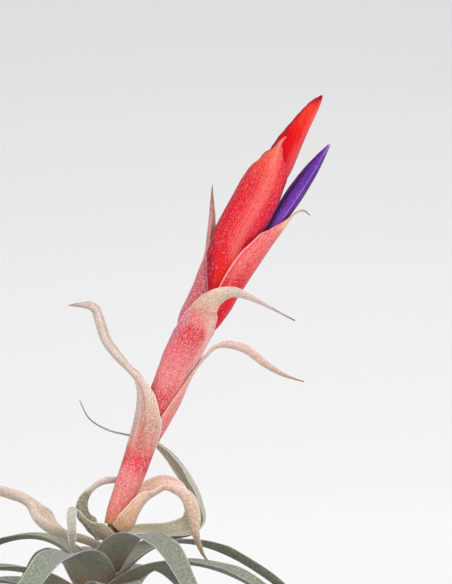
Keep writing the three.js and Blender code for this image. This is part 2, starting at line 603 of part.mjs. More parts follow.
addFlowerWhorl('sepal', 0, 54, [
  [103.6, 0.8],
  [107, 1],
  [110.4, 1.2],
  [113.6, 1.35],
  [116.4, 1.6],
], SEPAL_THICKNESS, sepalFinish);

// A thread inside the petals, from one height to another, on a ring that widens round the flower axis.
function threadCurve(lowHeight, highHeight, azimuth, lowRing, highRing) {
  const points = [];
  for (const share of [0, 0.35, 0.7, 1]) {
    const height = mix(lowHeight, highHeight, share);
    points.push(sheathRib(flowerAxis, height, azimuth, mix(lowRing, highRing, share), 0).point);
  }
  return new THREE.CatmullRomCurve3(points);
}

const FILAMENT_RADII = [0.13, 0.13, 0.13, 0.13, 0.13, 0.27, 0.27, 0.12];
for (let stamen = 0; stamen < STAMENS; stamen += 1) {
  const azimuth = (stamen * 360) / STAMENS;
  const curve = threadCurve(112, 131, azimuth, 0.46, 0.95);
  add(`stamen_${stamen + 1}`, rodGeometry(curve, FILAMENT_RADII, 5), filamentFinish());
}
const STYLE_RADII = [0.3, 0.3, 0.16, 0.16, 0.16, 0.16, 0.28, 0.1];
add('pistil', rodGeometry(threadCurve(106.4, 132.6, 0, 0, 0), STYLE_RADII, 6), filamentFinish());

export default plant;
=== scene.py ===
import math

import bpy
import numpy as np
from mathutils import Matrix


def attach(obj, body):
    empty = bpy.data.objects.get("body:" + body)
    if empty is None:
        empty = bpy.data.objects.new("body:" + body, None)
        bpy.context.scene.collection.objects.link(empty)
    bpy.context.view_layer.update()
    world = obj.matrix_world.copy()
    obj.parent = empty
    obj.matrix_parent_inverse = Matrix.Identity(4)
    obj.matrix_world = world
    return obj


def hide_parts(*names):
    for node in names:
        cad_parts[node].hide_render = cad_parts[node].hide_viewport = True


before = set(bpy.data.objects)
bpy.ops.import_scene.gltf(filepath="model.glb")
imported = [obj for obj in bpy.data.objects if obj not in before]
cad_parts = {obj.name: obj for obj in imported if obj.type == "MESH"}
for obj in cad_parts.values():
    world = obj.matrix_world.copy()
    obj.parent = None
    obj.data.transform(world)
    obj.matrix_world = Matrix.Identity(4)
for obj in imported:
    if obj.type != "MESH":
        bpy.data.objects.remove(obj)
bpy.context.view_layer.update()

# Stem. One woody piece that grows from the trimmed foot, through the leaf rosette and the wrapped
# scape, to the thin axis inside the spike. Every leaf and bract grows out of it.
# Sizes are in millimetres until a mesh is laid down.
MM = 0.001
SPIKE_AXIS = [
    (0, 0, 0), (0, 0, 9), (0, 0, 18), (0.7, 0, 27), (2.6, 0, 38), (5.2, 0, 48.6),
    (11.8, 0, 67.2), (17.8, 0, 80.6), (25.1, 0, 96), (29.2, 0, 103.4),
]
AXIS_STEPS = 600
STEM_HEIGHTS = [0, 8, 26, 40, 52, 95, 104]
STEM_RADII = [7.6, 7.0, 4.4, 2.0, 1.45, 1.1, 0.7]
STEM_FOOT = 0.5
STEM_SIDES = 24
STEM_RINGS = 30
BARK_FIBRES_PER_MM = (1.6, 1.6, 0.22)
BARK_PATCHES_PER_MM = 0.25


def through(points, shares, tension=None):
    """Points of a smooth line through the given ones, at shares of the way from the first to the last.
    The line's pace follows the gaps between the points, so that close points don't make it loop. With a
    tension the pace is even, and the slope at a point is that share of the span between its neighbours."""
    points = np.array(points, float)
    padded = np.vstack([2 * points[0] - points[1], points, 2 * points[-1] - points[-2]])
    place = np.asarray(shares, float) * (len(points) - 1)
    span = np.minimum(place.astype(int), len(points) - 2)
    part = (place - span)[:, None]
    before, first, second, after = (padded[span + step] for step in range(4))
    if tension is None:
        gaps = [(before, first), (first, second), (second, after)]
        lead, main, tail = (np.linalg.norm(b - a, axis=1)[:, None] ** 0.5 for a, b in gaps)
        start = ((first - before) / lead - (second - before) / (lead + main)) * main + second - first
        end = ((after - second) / tail - (after - first) / (main + tail)) * main + second - first
    else:
        start = tension * (second - before)
        end = tension * (after - first)
    bend = 3 * (second - first) - 2 * start - end
    return first + start * part + bend * part**2 + (2 * (first - second) + start + end) * part**3


def unit(vectors):
    return vectors / np.linalg.norm(vectors, axis=-1, keepdims=True)


def on_axis(axis, height):
    """The point where an axis reaches a height, and its direction there."""
    line = through(axis, np.linspace(0, 1, AXIS_STEPS))
    slope = np.gradient(line, axis=0)
    point = np.array([np.interp(height, line[:, 2], line[:, side]) for side in range(3)])
    return point, unit(np.array([np.interp(height, line[:, 2], slope[:, side]) for side in range(3)]))


def rounded(piece):
    """One level of subdivision, applied."""
    subdivision = piece.modifiers.new("rounded", "SUBSURF")
    subdivision.levels = subdivision.render_levels = 1
    bpy.ops.object.modifier_apply(modifier="rounded")


def grown_rod(name, points, radii, sides, foot):
    """A rod that is drawn up, ring by ring, from a short cylinder whose top is at the first point."""
    bpy.ops.object.select_all(action="DESELECT")
    bpy.ops.mesh.primitive_cylinder_add(
        vertices=sides,
        radius=radii[0] * MM,
        depth=foot * MM,
        location=(points[0] - np.array([0, 0, foot / 2])) * MM,
    )
    piece = bpy.context.object
    piece.name = name
    bpy.ops.object.transform_apply(location=True)
    bpy.ops.object.mode_set(mode="EDIT")
    bpy.ops.mesh.select_mode(type="FACE")
    bpy.ops.mesh.select_all(action="DESELECT")
    bpy.ops.object.mode_set(mode="OBJECT")
    for face in piece.data.polygons:
        face.select = face.normal.z > 0.9
    bpy.ops.object.mode_set(mode="EDIT")
    for low, high, before, after in zip(points, points[1:], radii, radii[1:]):
        bpy.ops.mesh.extrude_region_move(TRANSFORM_OT_translate={"value": (high - low) * MM})
        bpy.ops.transform.resize(value=(after / before,) * 3, center_override=high * MM)
    bpy.ops.object.mode_set(mode="OBJECT")
    rounded(piece)
    return piece


def paint(code):
    """A colour code, such as #ff8800, as the linear colour that a shader takes, by the sRGB formula."""
    parts = [int(code[place:place + 2], 16) / 255 for place in (1, 3, 5)]
    return tuple(((part + 0.055) / 1.055) ** 2.4 for part in parts) + (1,)


def feed(tree, node, inputs):
    """Sets a node's inputs. Each is a value, or the output of another node that is linked to it."""
    for place, value in inputs.items():
        if isinstance(value, bpy.types.NodeSocket):
            tree.links.new(value, node.inputs[place])
        else:
            node.inputs[place].default_value = value


def put(tree, kind, inputs, **settings):
    """The outputs of a new shader node."""
    made = tree.nodes.new("ShaderNode" + kind)
    for name, value in settings.items():
        setattr(made, name, value)
    feed(tree, made, inputs)
    return made.outputs


def step(tree, value, low, high):
    """0 below the low value and 1 above the high one, with a soft step between them. Given the high
    value first, it falls from 1 to 0 instead."""
    return put(tree, "MapRange", {0: value, 1: low, 2: high}, interpolation_type="SMOOTHSTEP")[0]


def blended(tree, share, first, second):
    return put(tree, "Mix", {0: share, 6: first, 7: second}, data_type="RGBA")[2]


def ramp(tree, share, stops):
    """Colours, or grey levels, that follow each other along a share from 0 to 1."""
    made = tree.nodes.new("ShaderNodeValToRGB")
    tree.links.new(share, made.inputs[0])
    elements = made.color_ramp.elements
    while len(elements) < len(stops):
        elements.new(0.5)
    for element, (place, value) in zip(elements, stops):
        element.position = place
        element.color = paint(value) if isinstance(value, str) else (value, value, value, 1)
    return made.outputs[0]


def in_millimetres(tree):
    place = put(tree, "TexCoord", {})["Object"]
    return put(tree, "Mapping", {0: place, 3: (1 / MM, 1 / MM, 1 / MM)})[0]


def roughened(tree, height, strength, depth):
    return put(tree, "Bump", {"Strength": strength, "Distance": depth * MM, "Height": height})[0]


def new_material(name):
    """A new material, with its node tree and its shader."""
    material = bpy.data.materials.new(name)
    material.use_nodes = True
    return material, material.node_tree, material.node_tree.nodes["Principled BSDF"]


def bark():
    """Grey-brown fibres that run up the stem, darker in the furrows."""
    material, tree, shader = new_material("bark")
    place = in_millimetres(tree)
    fibres = put(tree, "Mapping", {0: place, 3: BARK_FIBRES_PER_MM})[0]
    furrows = put(tree, "TexNoise", {0: fibres, "Scale": 1.0, "Detail": 6, "Roughness": 0.7})[0]
    patches = put(tree, "TexNoise", {0: place, "Scale": BARK_PATCHES_PER_MM, "Detail": 3})[0]
    brown = ramp(tree, furrows, [(0.3, "#3b2a1c"), (0.48, "#7a6248"), (0.62, "#a8977a"), (0.8, "#cbbfa4")])
    colour = blended(tree, step(tree, patches, 0.45, 0.7), brown, paint("#8f8a6c"))
    relief = roughened(tree, furrows, 0.8, 0.5)
    feed(tree, shader, {"Base Color": colour, "Normal": relief, "Roughness": 0.85})
    return material


def finish(piece, node, slot, *materials):
    """Rounds off a piece of the plant: its materials, smooth shading, and what it stands for."""
    for material in materials:
        piece.data.materials.append(material)
    piece.data.shade_smooth()
    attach(piece, "root")
    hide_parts(node)


ring_heights = [SPIKE_AXIS[-1][2] * ring / STEM_RINGS for ring in range(1, STEM_RINGS + 1)]
stem = grown_rod(
    "grown_stem",
    [np.array([0, 0, STEM_FOOT])] + [on_axis(SPIKE_AXIS, height)[0] for height in ring_heights],
    [STEM_RADII[0]] + [np.interp(height, STEM_HEIGHTS, STEM_RADII) for height in ring_heights],
    STEM_SIDES,
    STEM_FOOT,
)
finish(stem, "stem", "stem", bark())

# Rosette leaves. Each leaf sits on the stem with a broad pale sheath, then narrows to a channelled
# blade that arches out and down to a dry tip. A coat of silver-grey scales covers both its faces.
# A pair of values is for the lowest leaf and the highest.
LEAF_COUNT = 24
LOWEST_LEAF_HEIGHT = 2.8
LEAF_SPACING = 1.42
ROSETTE_RADIUS = 100
GOLDEN_ANGLE = 137.508
FIRST_LEAF_AZIMUTH = 20
LEAF_LEAN = (66, 29)
LEAF_RISE = (40, 27)
LEAF_TIP_HEIGHT = (-12, 14)
LEAF_DROOP = (16, 48)
LEAF_FALL = (34, 24)
LEAF_REACH = (1, 0.62)
REACH_VARIATION = 0.06
SIDEWAYS_SWEEP = 7
SHEATH_HALF_WIDTH = (12, 6.6)
NECK_HALF_WIDTH = (8.6, 5.4)
TIP_HALF_WIDTH = 0.35
SHEATH_SHARE = 0.2
CHANNEL_OPENNESS = 1.15
NARROWEST_CHANNEL = 1.2
WIDEST_WRAP = 76
GAP_TO_STEM = 0.35
LEAF_THICKNESS = 0.55
LEAF_ROWS = 40
LEAF_COLUMNS = 12
PROFILE_STEPS = 400
KEEL_WIDTH = 0.16
NERVE_HEIGHT = 0.035
WAVE_PACE = 23
WAVE_SLANT = 2.1
MARGIN_WALL = 0.35
WALL_PLACES = [0, 0.8, 1]
WALL_SHARES = [1, 0.85, 0.4]


def mix(pair, share):
    return pair[0] + (pair[1] - pair[0]) * share


def length_along(points):
    """How far along a line each of its points lies."""
    return np.concatenate([[0], np.cumsum(np.linalg.norm(np.diff(points, axis=0), axis=1))])


def sheet(name, sections, columns, thickness, keel=0.0, nerves=0, wave=0.0, spiral=0.0):
    """A leaf, bract or petal. A flat grid is wrapped on its cross-sections, row by row, then thickened
    inwards, less at the margins and the tip. Each section has a point on its back, the way that its back
    and its right side face, its radius, and how far it wraps to the left and the right. The keel is the
    height of the midrib, nerves is how many fine ridges run lengthwise, the wave is how far the margins
    wander, in a way that changes with the name's length, and the spiral is how far one margin lies out
    and the other in."""
    rows = len(sections["radius"]) - 1
    bpy.ops.object.select_all(action="DESELECT")
    bpy.ops.mesh.primitive_grid_add(x_subdivisions=columns, y_subdivisions=rows, size=1)
    piece = bpy.context.object
    piece.name = name
    flat = np.empty(len(piece.data.vertices) * 3)
    piece.data.vertices.foreach_get("co", flat)
    across = flat[0::3] + 0.5
    along = flat[1::3] + 0.5
    shares = np.linspace(0, 1, rows + 1)
    at = {
        part: np.column_stack([np.interp(along, shares, column) for column in np.atleast_2d(values.T)])
        for part, values in sections.items()
    }
    left, right, radius = at["left"][:, 0], at["right"][:, 0], at["radius"][:, 0]
    side = 2 * across - 1
    ripple = wave * side * abs(side) * np.sin(along * WAVE_PACE + side * WAVE_SLANT + len(name)) / radius
    angle = -left + (left + right) * across + ripple
    relief = keel * np.exp(-(side / KEEL_WIDTH) ** 2) * np.sin(np.pi * along.clip(0.02, 1)) ** 0.5
    if nerves:
        relief = relief + NERVE_HEIGHT * np.cos(side * nerves * np.pi) * (1 - along**4)
    reach = (radius + relief + spiral * side)[:, None]
    turn = angle[:, None]
    centre = at["point"] - at["outward"] * radius[:, None]
    points = centre + reach * (at["outward"] * np.cos(turn) + at["sideways"] * np.sin(turn))
    piece.data.vertices.foreach_set("co", (points * MM).ravel())
    grain = piece.data.attributes.new("grain", "FLOAT_VECTOR", "POINT")
    length = np.interp(along, shares, length_along(sections["point"]))
    grain.data.foreach_set("vector", np.column_stack([angle * radius, length, 0 * along]).ravel())
    body = piece.vertex_groups.new(name="body")
    fullness = 1 - (1 - MARGIN_WALL) * abs(side) ** 2.5
    fullness = fullness * np.interp(along, WALL_PLACES, WALL_SHARES)
    for index, weight in enumerate(fullness):
        body.add([index], float(weight), "REPLACE")
    wall = piece.modifiers.new("wall", "SOLIDIFY")
    wall.thickness = thickness * MM
    wall.offset = -1
    wall.vertex_group = "body"
    wall.material_offset = 1
    bpy.ops.object.modifier_apply(modifier="wall")
    rounded(piece)
    return piece


def leaf_profile(index):
    """The line of a rosette leaf's midrib: its distance from the stem's middle, and its height."""
    level = index / (LEAF_COUNT - 1)
    height = LOWEST_LEAF_HEIGHT + index * LEAF_SPACING
    start = np.array([np.interp(height, STEM_HEIGHTS, STEM_RADII) + GAP_TO_STEM + LEAF_THICKNESS, height])
    reach = ROSETTE_RADIUS * mix(LEAF_REACH, level**1.5) * (1 + REACH_VARIATION * math.sin(index * 1.9))
    tip = np.array([reach, max(0, mix(LEAF_TIP_HEIGHT, level))])
    lean = math.radians(mix(LEAF_LEAN, level))
    droop = math.radians(mix(LEAF_DROOP, level))
    rise = start + np.array([math.sin(lean), math.cos(lean)]) * mix(LEAF_RISE, level)
    fall = tip + np.array([-math.cos(droop), math.sin(droop)]) * mix(LEAF_FALL, level)
    share = np.linspace(0, 1, PROFILE_STEPS)[:, None]
    rest = 1 - share
    line = rest**3 * start + 3 * rest**2 * share * rise + 3 * rest * share**2 * fall + share**3 * tip
    length = length_along(line)
    even = np.linspace(0, length[-1], LEAF_ROWS + 1)
    return np.column_stack([np.interp(even, length, line[:, 0]), np.interp(even, length, line[:, 1])])


def leaf_sections(index):
    """A rosette leaf's cross-sections: first wrapped on the stem, then on the blade's own channel."""
    level = index / (LEAF_COUNT - 1)
    line = leaf_profile(index)
    slope = np.gradient(line, axis=0)
    share = np.linspace(0, 1, LEAF_ROWS + 1)
    centre, _ = on_axis(SPIKE_AXIS, line[0, 1])
    sweep = math.radians(SIDEWAYS_SWEEP * math.sin(index * 2.4)) * share**2
    azimuth = np.radians(FIRST_LEAF_AZIMUTH + index * GOLDEN_ANGLE) + sweep
    tilt = np.arctan2(slope[:, 0], slope[:, 1]) * np.minimum(1, share / SHEATH_SHARE)
    radial = np.column_stack([np.cos(azimuth), np.sin(azimuth), 0 * share])
    upward = np.array([0, 0, 1])
    widths = [mix(SHEATH_HALF_WIDTH, level), mix(NECK_HALF_WIDTH, level), TIP_HALF_WIDTH]
    half_width = np.interp(share, [0, SHEATH_SHARE, 1], widths)
    channel = np.maximum(NARROWEST_CHANNEL, half_width * CHANNEL_OPENNESS)
    radius = mix((line[:, 0], channel), np.minimum(1, share / (2 * SHEATH_SHARE)))
    wrap = np.minimum(math.radians(WIDEST_WRAP), half_width / radius)
    return {
        "point": radial * line[:, :1] + centre * (1, 1, 0) + upward * line[:, 1:],
        "outward": radial * np.cos(tilt)[:, None] - upward * np.sin(tilt)[:, None],
        "sideways": np.column_stack([-np.sin(azimuth), np.cos(azimuth), 0 * share]),
        "radius": radius,
        "left": wrap,
        "right": wrap,
    }


def maths(tree, operation, *values):
    return put(tree, "Math", dict(enumerate(values)), operation=operation)[0]


def plus(tree, first, second):
    return maths(tree, "ADD", first, second)


def minus(tree, first, second):
    return maths(tree, "SUBTRACT", first, second)


def times(tree, first, second):
    return maths(tree, "MULTIPLY", first, second)


def places_on(tree):
    """The shares across a sheet and along it, and its grain, in millimetres across and along."""
    share = put(tree, "SeparateXYZ", {0: put(tree, "TexCoord", {})["UV"]})
    return share["X"], share["Y"], put(tree, "Attribute", {}, attribute_name="grain")["Vector"]


def drawn_out(tree, grain, across, along):
    """Noise in lines that run lengthwise. The two values are how many there are to a millimetre."""
    lines = put(tree, "Mapping", {0: grain, 3: (across, along, 1)})[0]
    return put(tree, "TexNoise", {0: lines, "Scale": 1.0, "Detail": 4, "Roughness": 0.65})[0]


def bands_across(tree, across, body, stops):
    """Colours laid over the body colour in bands that run lengthwise, each as strong as its third value."""
    places = [(place, colour) for place, colour, _ in stops]
    strengths = [(place, strength) for place, _, strength in stops]
    return blended(tree, ramp(tree, across, strengths), body, ramp(tree, across, places))


STREAKS_PER_MM = (2.2, 0.12)
PATCHES_PER_MM = 0.35
UNEVEN_ALONG = 0.12
UNEVEN_ACROSS = 0.08
STREAK_DEPTH = (0.6, 1)
SCALE_OUTLINE = (0.75, 0.3)
SCALE_FADE = 0.12
MEAN_BRIGHTNESS = 0.98
DOT_STRENGTH = 0.4
RIM_START = (0.465, 0.49)
RIM_END = (0.9, 0.8)
RIM_STRENGTH = 0.8
SHEEN_TINT = (0.62, 0.56, 0.85, 1)
GLOW_TINT = (1, 0.95, 0.85)


def scaly_skin(
    name, colours, cover, scale_colour,
    roughness=0.7, gloss=0.3, sheen=0.25, glow=0.0,
    speck=0.22, stretch=1.1, coat=0.6, dots=0.2, dot_colour="#8e2a34",
    streaks=0.25, mottle=0.42, bands=None, bands_start=(-1, 0), margin=None,
):
    """Skin under a coat of fine scales. From the foot of the piece to its tip, the colours are those of
    the skin, and the cover is the share of the scales that are pale. The coat is how well a pale scale
    hides the skin. Dots are the share of scales that have gone dark. A speck is a scale's size in
    millimetres, and the stretch its length over its width. Streaks and mottle are how much the skin
    varies in lengthwise lines and from scale to scale. Bands change its colour across the piece, from
    bands_start on, or up to there if that pair falls. Some bands are the skin's own colour, and others
    are painted highlights and painted shade. The margin is the colour of the rim, which ends before the
    tip. The glow is the light that spreads under the skin."""
    material, tree, shader = new_material(name)
    across, along, grain = places_on(tree)
    patches = put(tree, "TexNoise", {0: in_millimetres(tree), "Scale": PATCHES_PER_MM, "Detail": 3})[0]
    uneven_along = plus(tree, along, times(tree, minus(tree, patches, 0.5), UNEVEN_ALONG))
    streak = drawn_out(tree, grain, *STREAKS_PER_MM)
    streak_lean = minus(tree, streak, 0.5)
    body = ramp(tree, uneven_along, colours)
    if bands:
        uneven_across = plus(tree, across, times(tree, streak_lean, UNEVEN_ACROSS))
        banded = bands_across(tree, uneven_across, body, bands)
        body = blended(tree, step(tree, uneven_along, *bands_start), body, banded)
    scales = put(tree, "Mapping", {0: grain, 3: (1, 1 / stretch, 1)})[0]
    cells = put(tree, "TexVoronoi", {0: scales, "Scale": 1 / speck})
    outline = step(tree, cells["Distance"], *SCALE_OUTLINE)
    chance = put(tree, "SeparateColor", {0: cells["Color"]})
    streak_depth = mix(STREAK_DEPTH, streaks)
    darkest = MEAN_BRIGHTNESS - (streak_depth + mottle) / 2
    brightness = plus(tree, times(tree, streak, streak_depth), times(tree, chance[2], mottle))
    brightness = plus(tree, brightness, darkest)
    body = put(tree, "HueSaturation", {"Value": brightness, "Color": body})[0]
    wanted = plus(tree, ramp(tree, uneven_along, cover), times(tree, streak_lean, 2 * streaks))
    pale = step(tree, minus(tree, wanted, chance[0]), -SCALE_FADE, SCALE_FADE)
    pale = times(tree, pale, outline)
    dark = times(tree, maths(tree, "LESS_THAN", chance[1], dots), outline)
    colour = blended(tree, times(tree, pale, coat), body, paint(scale_colour))
    colour = blended(tree, times(tree, dark, DOT_STRENGTH), colour, paint(dot_colour))
    if margin:
        off_middle = maths(tree, "ABSOLUTE", minus(tree, across, 0.5))
        rim = times(tree, step(tree, off_middle, *RIM_START), step(tree, along, *RIM_END))
        colour = blended(tree, times(tree, rim, RIM_STRENGTH), colour, paint(margin))
    relief = roughened(tree, plus(tree, pale, times(tree, streak, 0.8)), 0.35, 0.1)
    feed(tree, shader, {
        "Base Color": colour,
        "Normal": relief,
        "Roughness": roughness,
        "Specular IOR Level": gloss,
        "Sheen Weight": sheen,
        "Sheen Roughness": 0.4,
        "Sheen Tint": SHEEN_TINT,
        "Subsurface Weight": glow,
        "Subsurface Radius": GLOW_TINT,
        "Subsurface Scale": MM,
    })
    return material


leaf_back = scaly_skin(
    "leaf_back",
    [(0, "#c9b098"), (0.12, "#a3a18a"), (0.3, "#7c8672"), (0.85, "#767d66"), (0.96, "#7d6a4e"),
     (1, "#4e3c2a")],
    [(0, 0.4), (0.15, 0.5), (0.8, 0.5), (1, 0.3)],
    "#d3d5cb",
    roughness=0.85,
    dot_colour="#5a5c48",
    margin="#cfcabb",
)
leaf_channel = scaly_skin(
    "leaf_channel",
    [(0, "#d8bfa2"), (0.15, "#98a084"), (0.4, "#727f66"), (0.85, "#768063"), (0.96, "#7d6a4e"),
     (1, "#4e3c2a")],
    [(0, 0.3), (0.2, 0.4), (0.8, 0.45), (1, 0.3)],
    "#c6cabc",
    roughness=0.8,
    dot_colour="#525c44",
    margin="#cfcabb",
)
for index in range(LEAF_COUNT):
    number = f"{index + 1:02d}"
    leaf = sheet(
        "arching_leaf_" + number,
        leaf_sections(index),
        LEAF_COLUMNS,
        LEAF_THICKNESS,
        keel=0.15,
        wave=0.2,
    )
    finish(leaf, "leaf_" + number, "leaf", leaf_back, leaf_channel)

# Upper leaves. The youngest five stand up round the scape and curl over it. They are narrower and
# paler than the rest, and some are flushed with pink. Each is shaped by cross-sections of its own,
# because no two of them curl alike.
UPPER_LEAF_ROWS = 64
RIB_LINE_STEPS = 500
TURN_TENSION = 0.3
WRAP_TENSION = 0.2


def rib(point, outward, radius, left, right=None):
    """A cross-section: a point on the midrib's back, the way the back faces, the radius of the channel,
    and how far it wraps to the left and right, in degrees."""
    if right is None:
        right = left
    return np.array(point, float), unit(np.array(outward, float)), radius, left, right


def sheath_rib(axis, height, azimuth, radius, left, right=None, shift=0):
    """A cross-section that wraps an axis, or a point to the right of it by the shift. Azimuth 0 is the
    right side, 90 the back and 180 the left."""
    point, along = on_axis(axis, height)
    rightward = unit(np.array([along[2], 0, -along[0]]))
    turn = math.radians(azimuth)
    outward = rightward * math.cos(turn) + np.array([0, math.sin(turn), 0])
    return rib(point + rightward * shift + outward * radius, outward, radius, left, right)


def sheath(axis, azimuth, steps):
    """Cross-sections that wrap an axis, all from the same side. A step is a height and what follows."""
    return [sheath_rib(axis, height, azimuth, *wrap) for height, *wrap in steps]


def sections_through(ribs, rows):
    """Evenly spaced cross-sections along the smooth line through the ribs."""
    points, backs, *wraps = zip(*ribs)
    fine = np.linspace(0, 1, RIB_LINE_STEPS)
    length = length_along(through(points, fine))
    shares = np.interp(np.linspace(0, length[-1], rows + 1), length, fine)
    line = through(points, shares)
    along = unit(np.gradient(line, axis=0))
    outward = through(backs, shares, TURN_TENSION)
    outward = unit(outward - along * np.sum(outward * along, axis=1)[:, None])
    radius, left, right = through(list(zip(*wraps)), shares, WRAP_TENSION).T
    return {
        "point": line,
        "outward": outward,
        "sideways": np.cross(along, outward),
        "radius": radius,
        "left": np.radians(left),
        "right": np.radians(right),
    }


def upper_leaf(name, node, ribs, back, channel, columns=14):
    sections = sections_through(ribs, UPPER_LEAF_ROWS)
    leaf = sheet(name, sections, columns, LEAF_THICKNESS, keel=0.12, wave=0.12)
    finish(leaf, node, "leaf", back, channel)


# The green leaf rises on the right, then turns back behind the scape and thins to a curl.
silver_back = scaly_skin(
    "silver_leaf_back",
    [(0, "#c9b098"), (0.2, "#beb8a2"), (0.4, "#b8b29a"), (0.55, "#c0bdb0"), (0.72, "#b0aea0"),
     (0.8, "#85857c"), (1, "#6f706c")],
    [(0, 0.4), (0.5, 0.5), (0.78, 0.3), (1, 0.1)],
    "#e0ddd2",
    roughness=0.85,
    glow=0.5,
    dot_colour="#7c7c66",
    # The pale band down the middle is a painted highlight on the keel, the dull band near one margin
    # painted shade.
    bands=[(0.1, "#8f9080", 0.35), (0.44, "#a5a595", 0.0), (0.5, "#e6dfcf", 0.6),
           (0.56, "#a5a595", 0.0)],
    margin="#e4e0d4",
)
silver_channel = scaly_skin(
    "silver_leaf_channel",
    # Its middle stretch is painted paler than the back: painted light that lifts the shade inside the
    # channel.
    [(0, "#d8bfa2"), (0.3, "#dcdcc8"), (0.5, "#e4eadc"), (0.72, "#e4eee0"), (0.84, "#d4ded0"),
     (0.9, "#8f8e84"), (1, "#6f706c")],
    [(0, 0.3), (0.5, 0.45), (1, 0.2)],
    "#eae6dc",
    roughness=0.85,
    glow=1.0,
    dot_colour="#8c8b74",
    margin="#e0dacb",
)
upper_leaf("green_leaf", "upper_leaf_green", [
    sheath_rib(SPIKE_AXIS, 38, 52, 3.1, 62),
    rib((5.6, 5.4, 42.2), (0.5, 0.5, -0.6), 4.2, 56),
    rib((11, 9, 43.6), (0.3, 0.4, -0.9), 4.6, 56),
    rib((18, 11.6, 43.4), (0.2, 0.5, -0.9), 4.4, 60),
    rib((23.6, 12.4, 45), (0.6, 0.6, -0.5), 4.1, 66),
    rib((25.7, 12, 48.6), (0.74, 0.67, 0.09), 3.7, 75),
    rib((25.3, 11.2, 51.7), (0.775, 0.6, 0.2), 3.2, 81),
    rib((24.4, 10.4, 55), (0.76, 0.54, 0.35), 2.65, 85),
    rib((22.5, 9.4, 58.6), (0.7, 0.48, 0.5), 2.2, 88),
    rib((20.8, 9, 61), (0.63, 0.57, 0.52), 2, 86),
    rib((18.2, 8, 64), (0.54, 0.5, 0.62), 1.65, 84),
    rib((15.3, 7.4, 66.2), (0.4, 0.4, 0.8), 1.3, 76),
    rib((12, 7, 67.5), (0.2, 0.2, 0.95), 0.8, 66),
    rib((7.4, 6.4, 68.5), (0.1, 0, 1), 0.5, 50),
    rib((3.2, 5.8, 69.5), (0.3, 0, 0.95), 0.45, 46),
    rib((-1.5, 5.2, 72.35), (0.7, 0, 0.7), 0.4, 46),
    rib((-3.8, 4.8, 76.8), (0.95, 0, 0.3), 0.4, 30),
], silver_back, silver_channel)

# The far left leaf rises in a hump beside the scape, then arches far out to the left.
pale_back = scaly_skin(
    "pale_leaf_back",
    [(0, "#ddd0c0"), (0.2, "#dccabc"), (0.4, "#c0a89c"), (0.8, "#baa298"), (0.97, "#94765e"),
     (1, "#5e4234")],
    [(0, 0.4), (1, 0.45)],
    "#e8dfd4",
    roughness=0.85,
    glow=0.5,
    dot_colour="#a8887a",
    margin="#dccfc2",
)
pale_channel = scaly_skin(
    "pale_leaf_channel",
    [(0, "#9aa58a"), (0.3, "#a9ac95"), (0.5, "#cdc5b6"), (0.8, "#cbb6aa"), (0.97, "#a48a74"),
     (1, "#5e4234")],
    [(0, 0.35), (1, 0.4)],
    "#e2dfd5",
    roughness=0.85,
    glow=0.5,
    dot_colour="#8c8270",
    coat=0.5,
    margin="#ddd6c8",
)
upper_leaf("far_left_leaf", "upper_leaf_far_left", [
    sheath_rib(SPIKE_AXIS, 40.6, 205, 3, 62, 46),
    rib((-2.6, -2.4, 42.4), (-0.7, -0.3, -0.6), 3.9, 56),
    rib((-6.6, -3.6, 43.6), (-0.35, -0.1, -0.9), 3.8, 64),
    rib((-11, -4.4, 45), (-0.55, 0.1, -0.8), 3.9, 80),
    rib((-14.4, -4.6, 48.1), (-0.73, 0.34, -0.58), 3.5, 94),
    rib((-15.4, -5, 50), (-0.67, 0.39, -0.63), 2.8, 87),
    rib((-16.5, -5.7, 51.8), (-0.41, 0.17, -0.89), 2.3, 90),
    rib((-20.7, -6.6, 53.5), (-0.3, 0.09, -0.95), 2.2, 96),
    rib((-26, -7.6, 54.9), (-0.1, 0, -1), 2.1, 92),
    rib((-34, -9, 54), (0.25, -0.1, -0.95), 1.9, 80),
    rib((-46, -10.6, 48.8), (0.5, -0.2, -0.85), 1.8, 66),
    rib((-58, -12, 40), (0.7, -0.2, -0.7), 1.5, 54),
    rib((-67, -12.8, 30), (0.8, -0.1, -0.55), 1, 42),
    rib((-72, -13, 22), (0.85, 0, -0.5), 0.8, 24),
], pale_back, pale_channel)

# The left arch leaf stands up close to the scape and bends over behind it.
arch_back = scaly_skin(
    "left_arch_back",
    [(0, "#8d8f78"), (0.3, "#7f8066"), (0.42, "#8a8870"), (0.52, "#d6d1ca"), (0.8, "#d4cdc4"),
     (1, "#c4bcb0")],
    [(0, 0.35), (1, 0.4)],
    "#ddd9ce",
    roughness=0.85,
    glow=0.5,
    dot_colour="#77735c",
    margin="#d9d2c4",
)
upper_leaf("left_arch_leaf", "upper_leaf_left_arch", [
    sheath_rib(SPIKE_AXIS, 42.2, 165, 3, 58, 40),
    rib((-1.3, -0.6, 45.2), (-0.7, -0.7, -0.1), 2.8, 50, 44),
    rib((-1.9, -2.2, 48), (0, -1, -0.1), 2.5, 64),
    rib((-1.8, -2, 50.6), (0.75, -0.6, 0), 2.3, 80),
    rib((-1.6, 0.4, 53), (0.95, 0.3, -0.15), 1.9, 88),
    rib((-0.5, 1.6, 54.9), (0.78, 0.1, -0.6), 1.7, 82),
    rib((1.8, 2.8, 56.4), (0.4, -0.2, -0.9), 1.6, 80),
    rib((5.4, 4, 56.8), (0, -0.25, -0.97), 1.5, 76),
    rib((9.4, 5, 56.6), (-0.1, -0.25, -0.97), 1.1, 60),
    rib((13, 5.6, 56), (-0.2, -0.2, -0.95), 0.8, 26),
], arch_back, silver_channel)

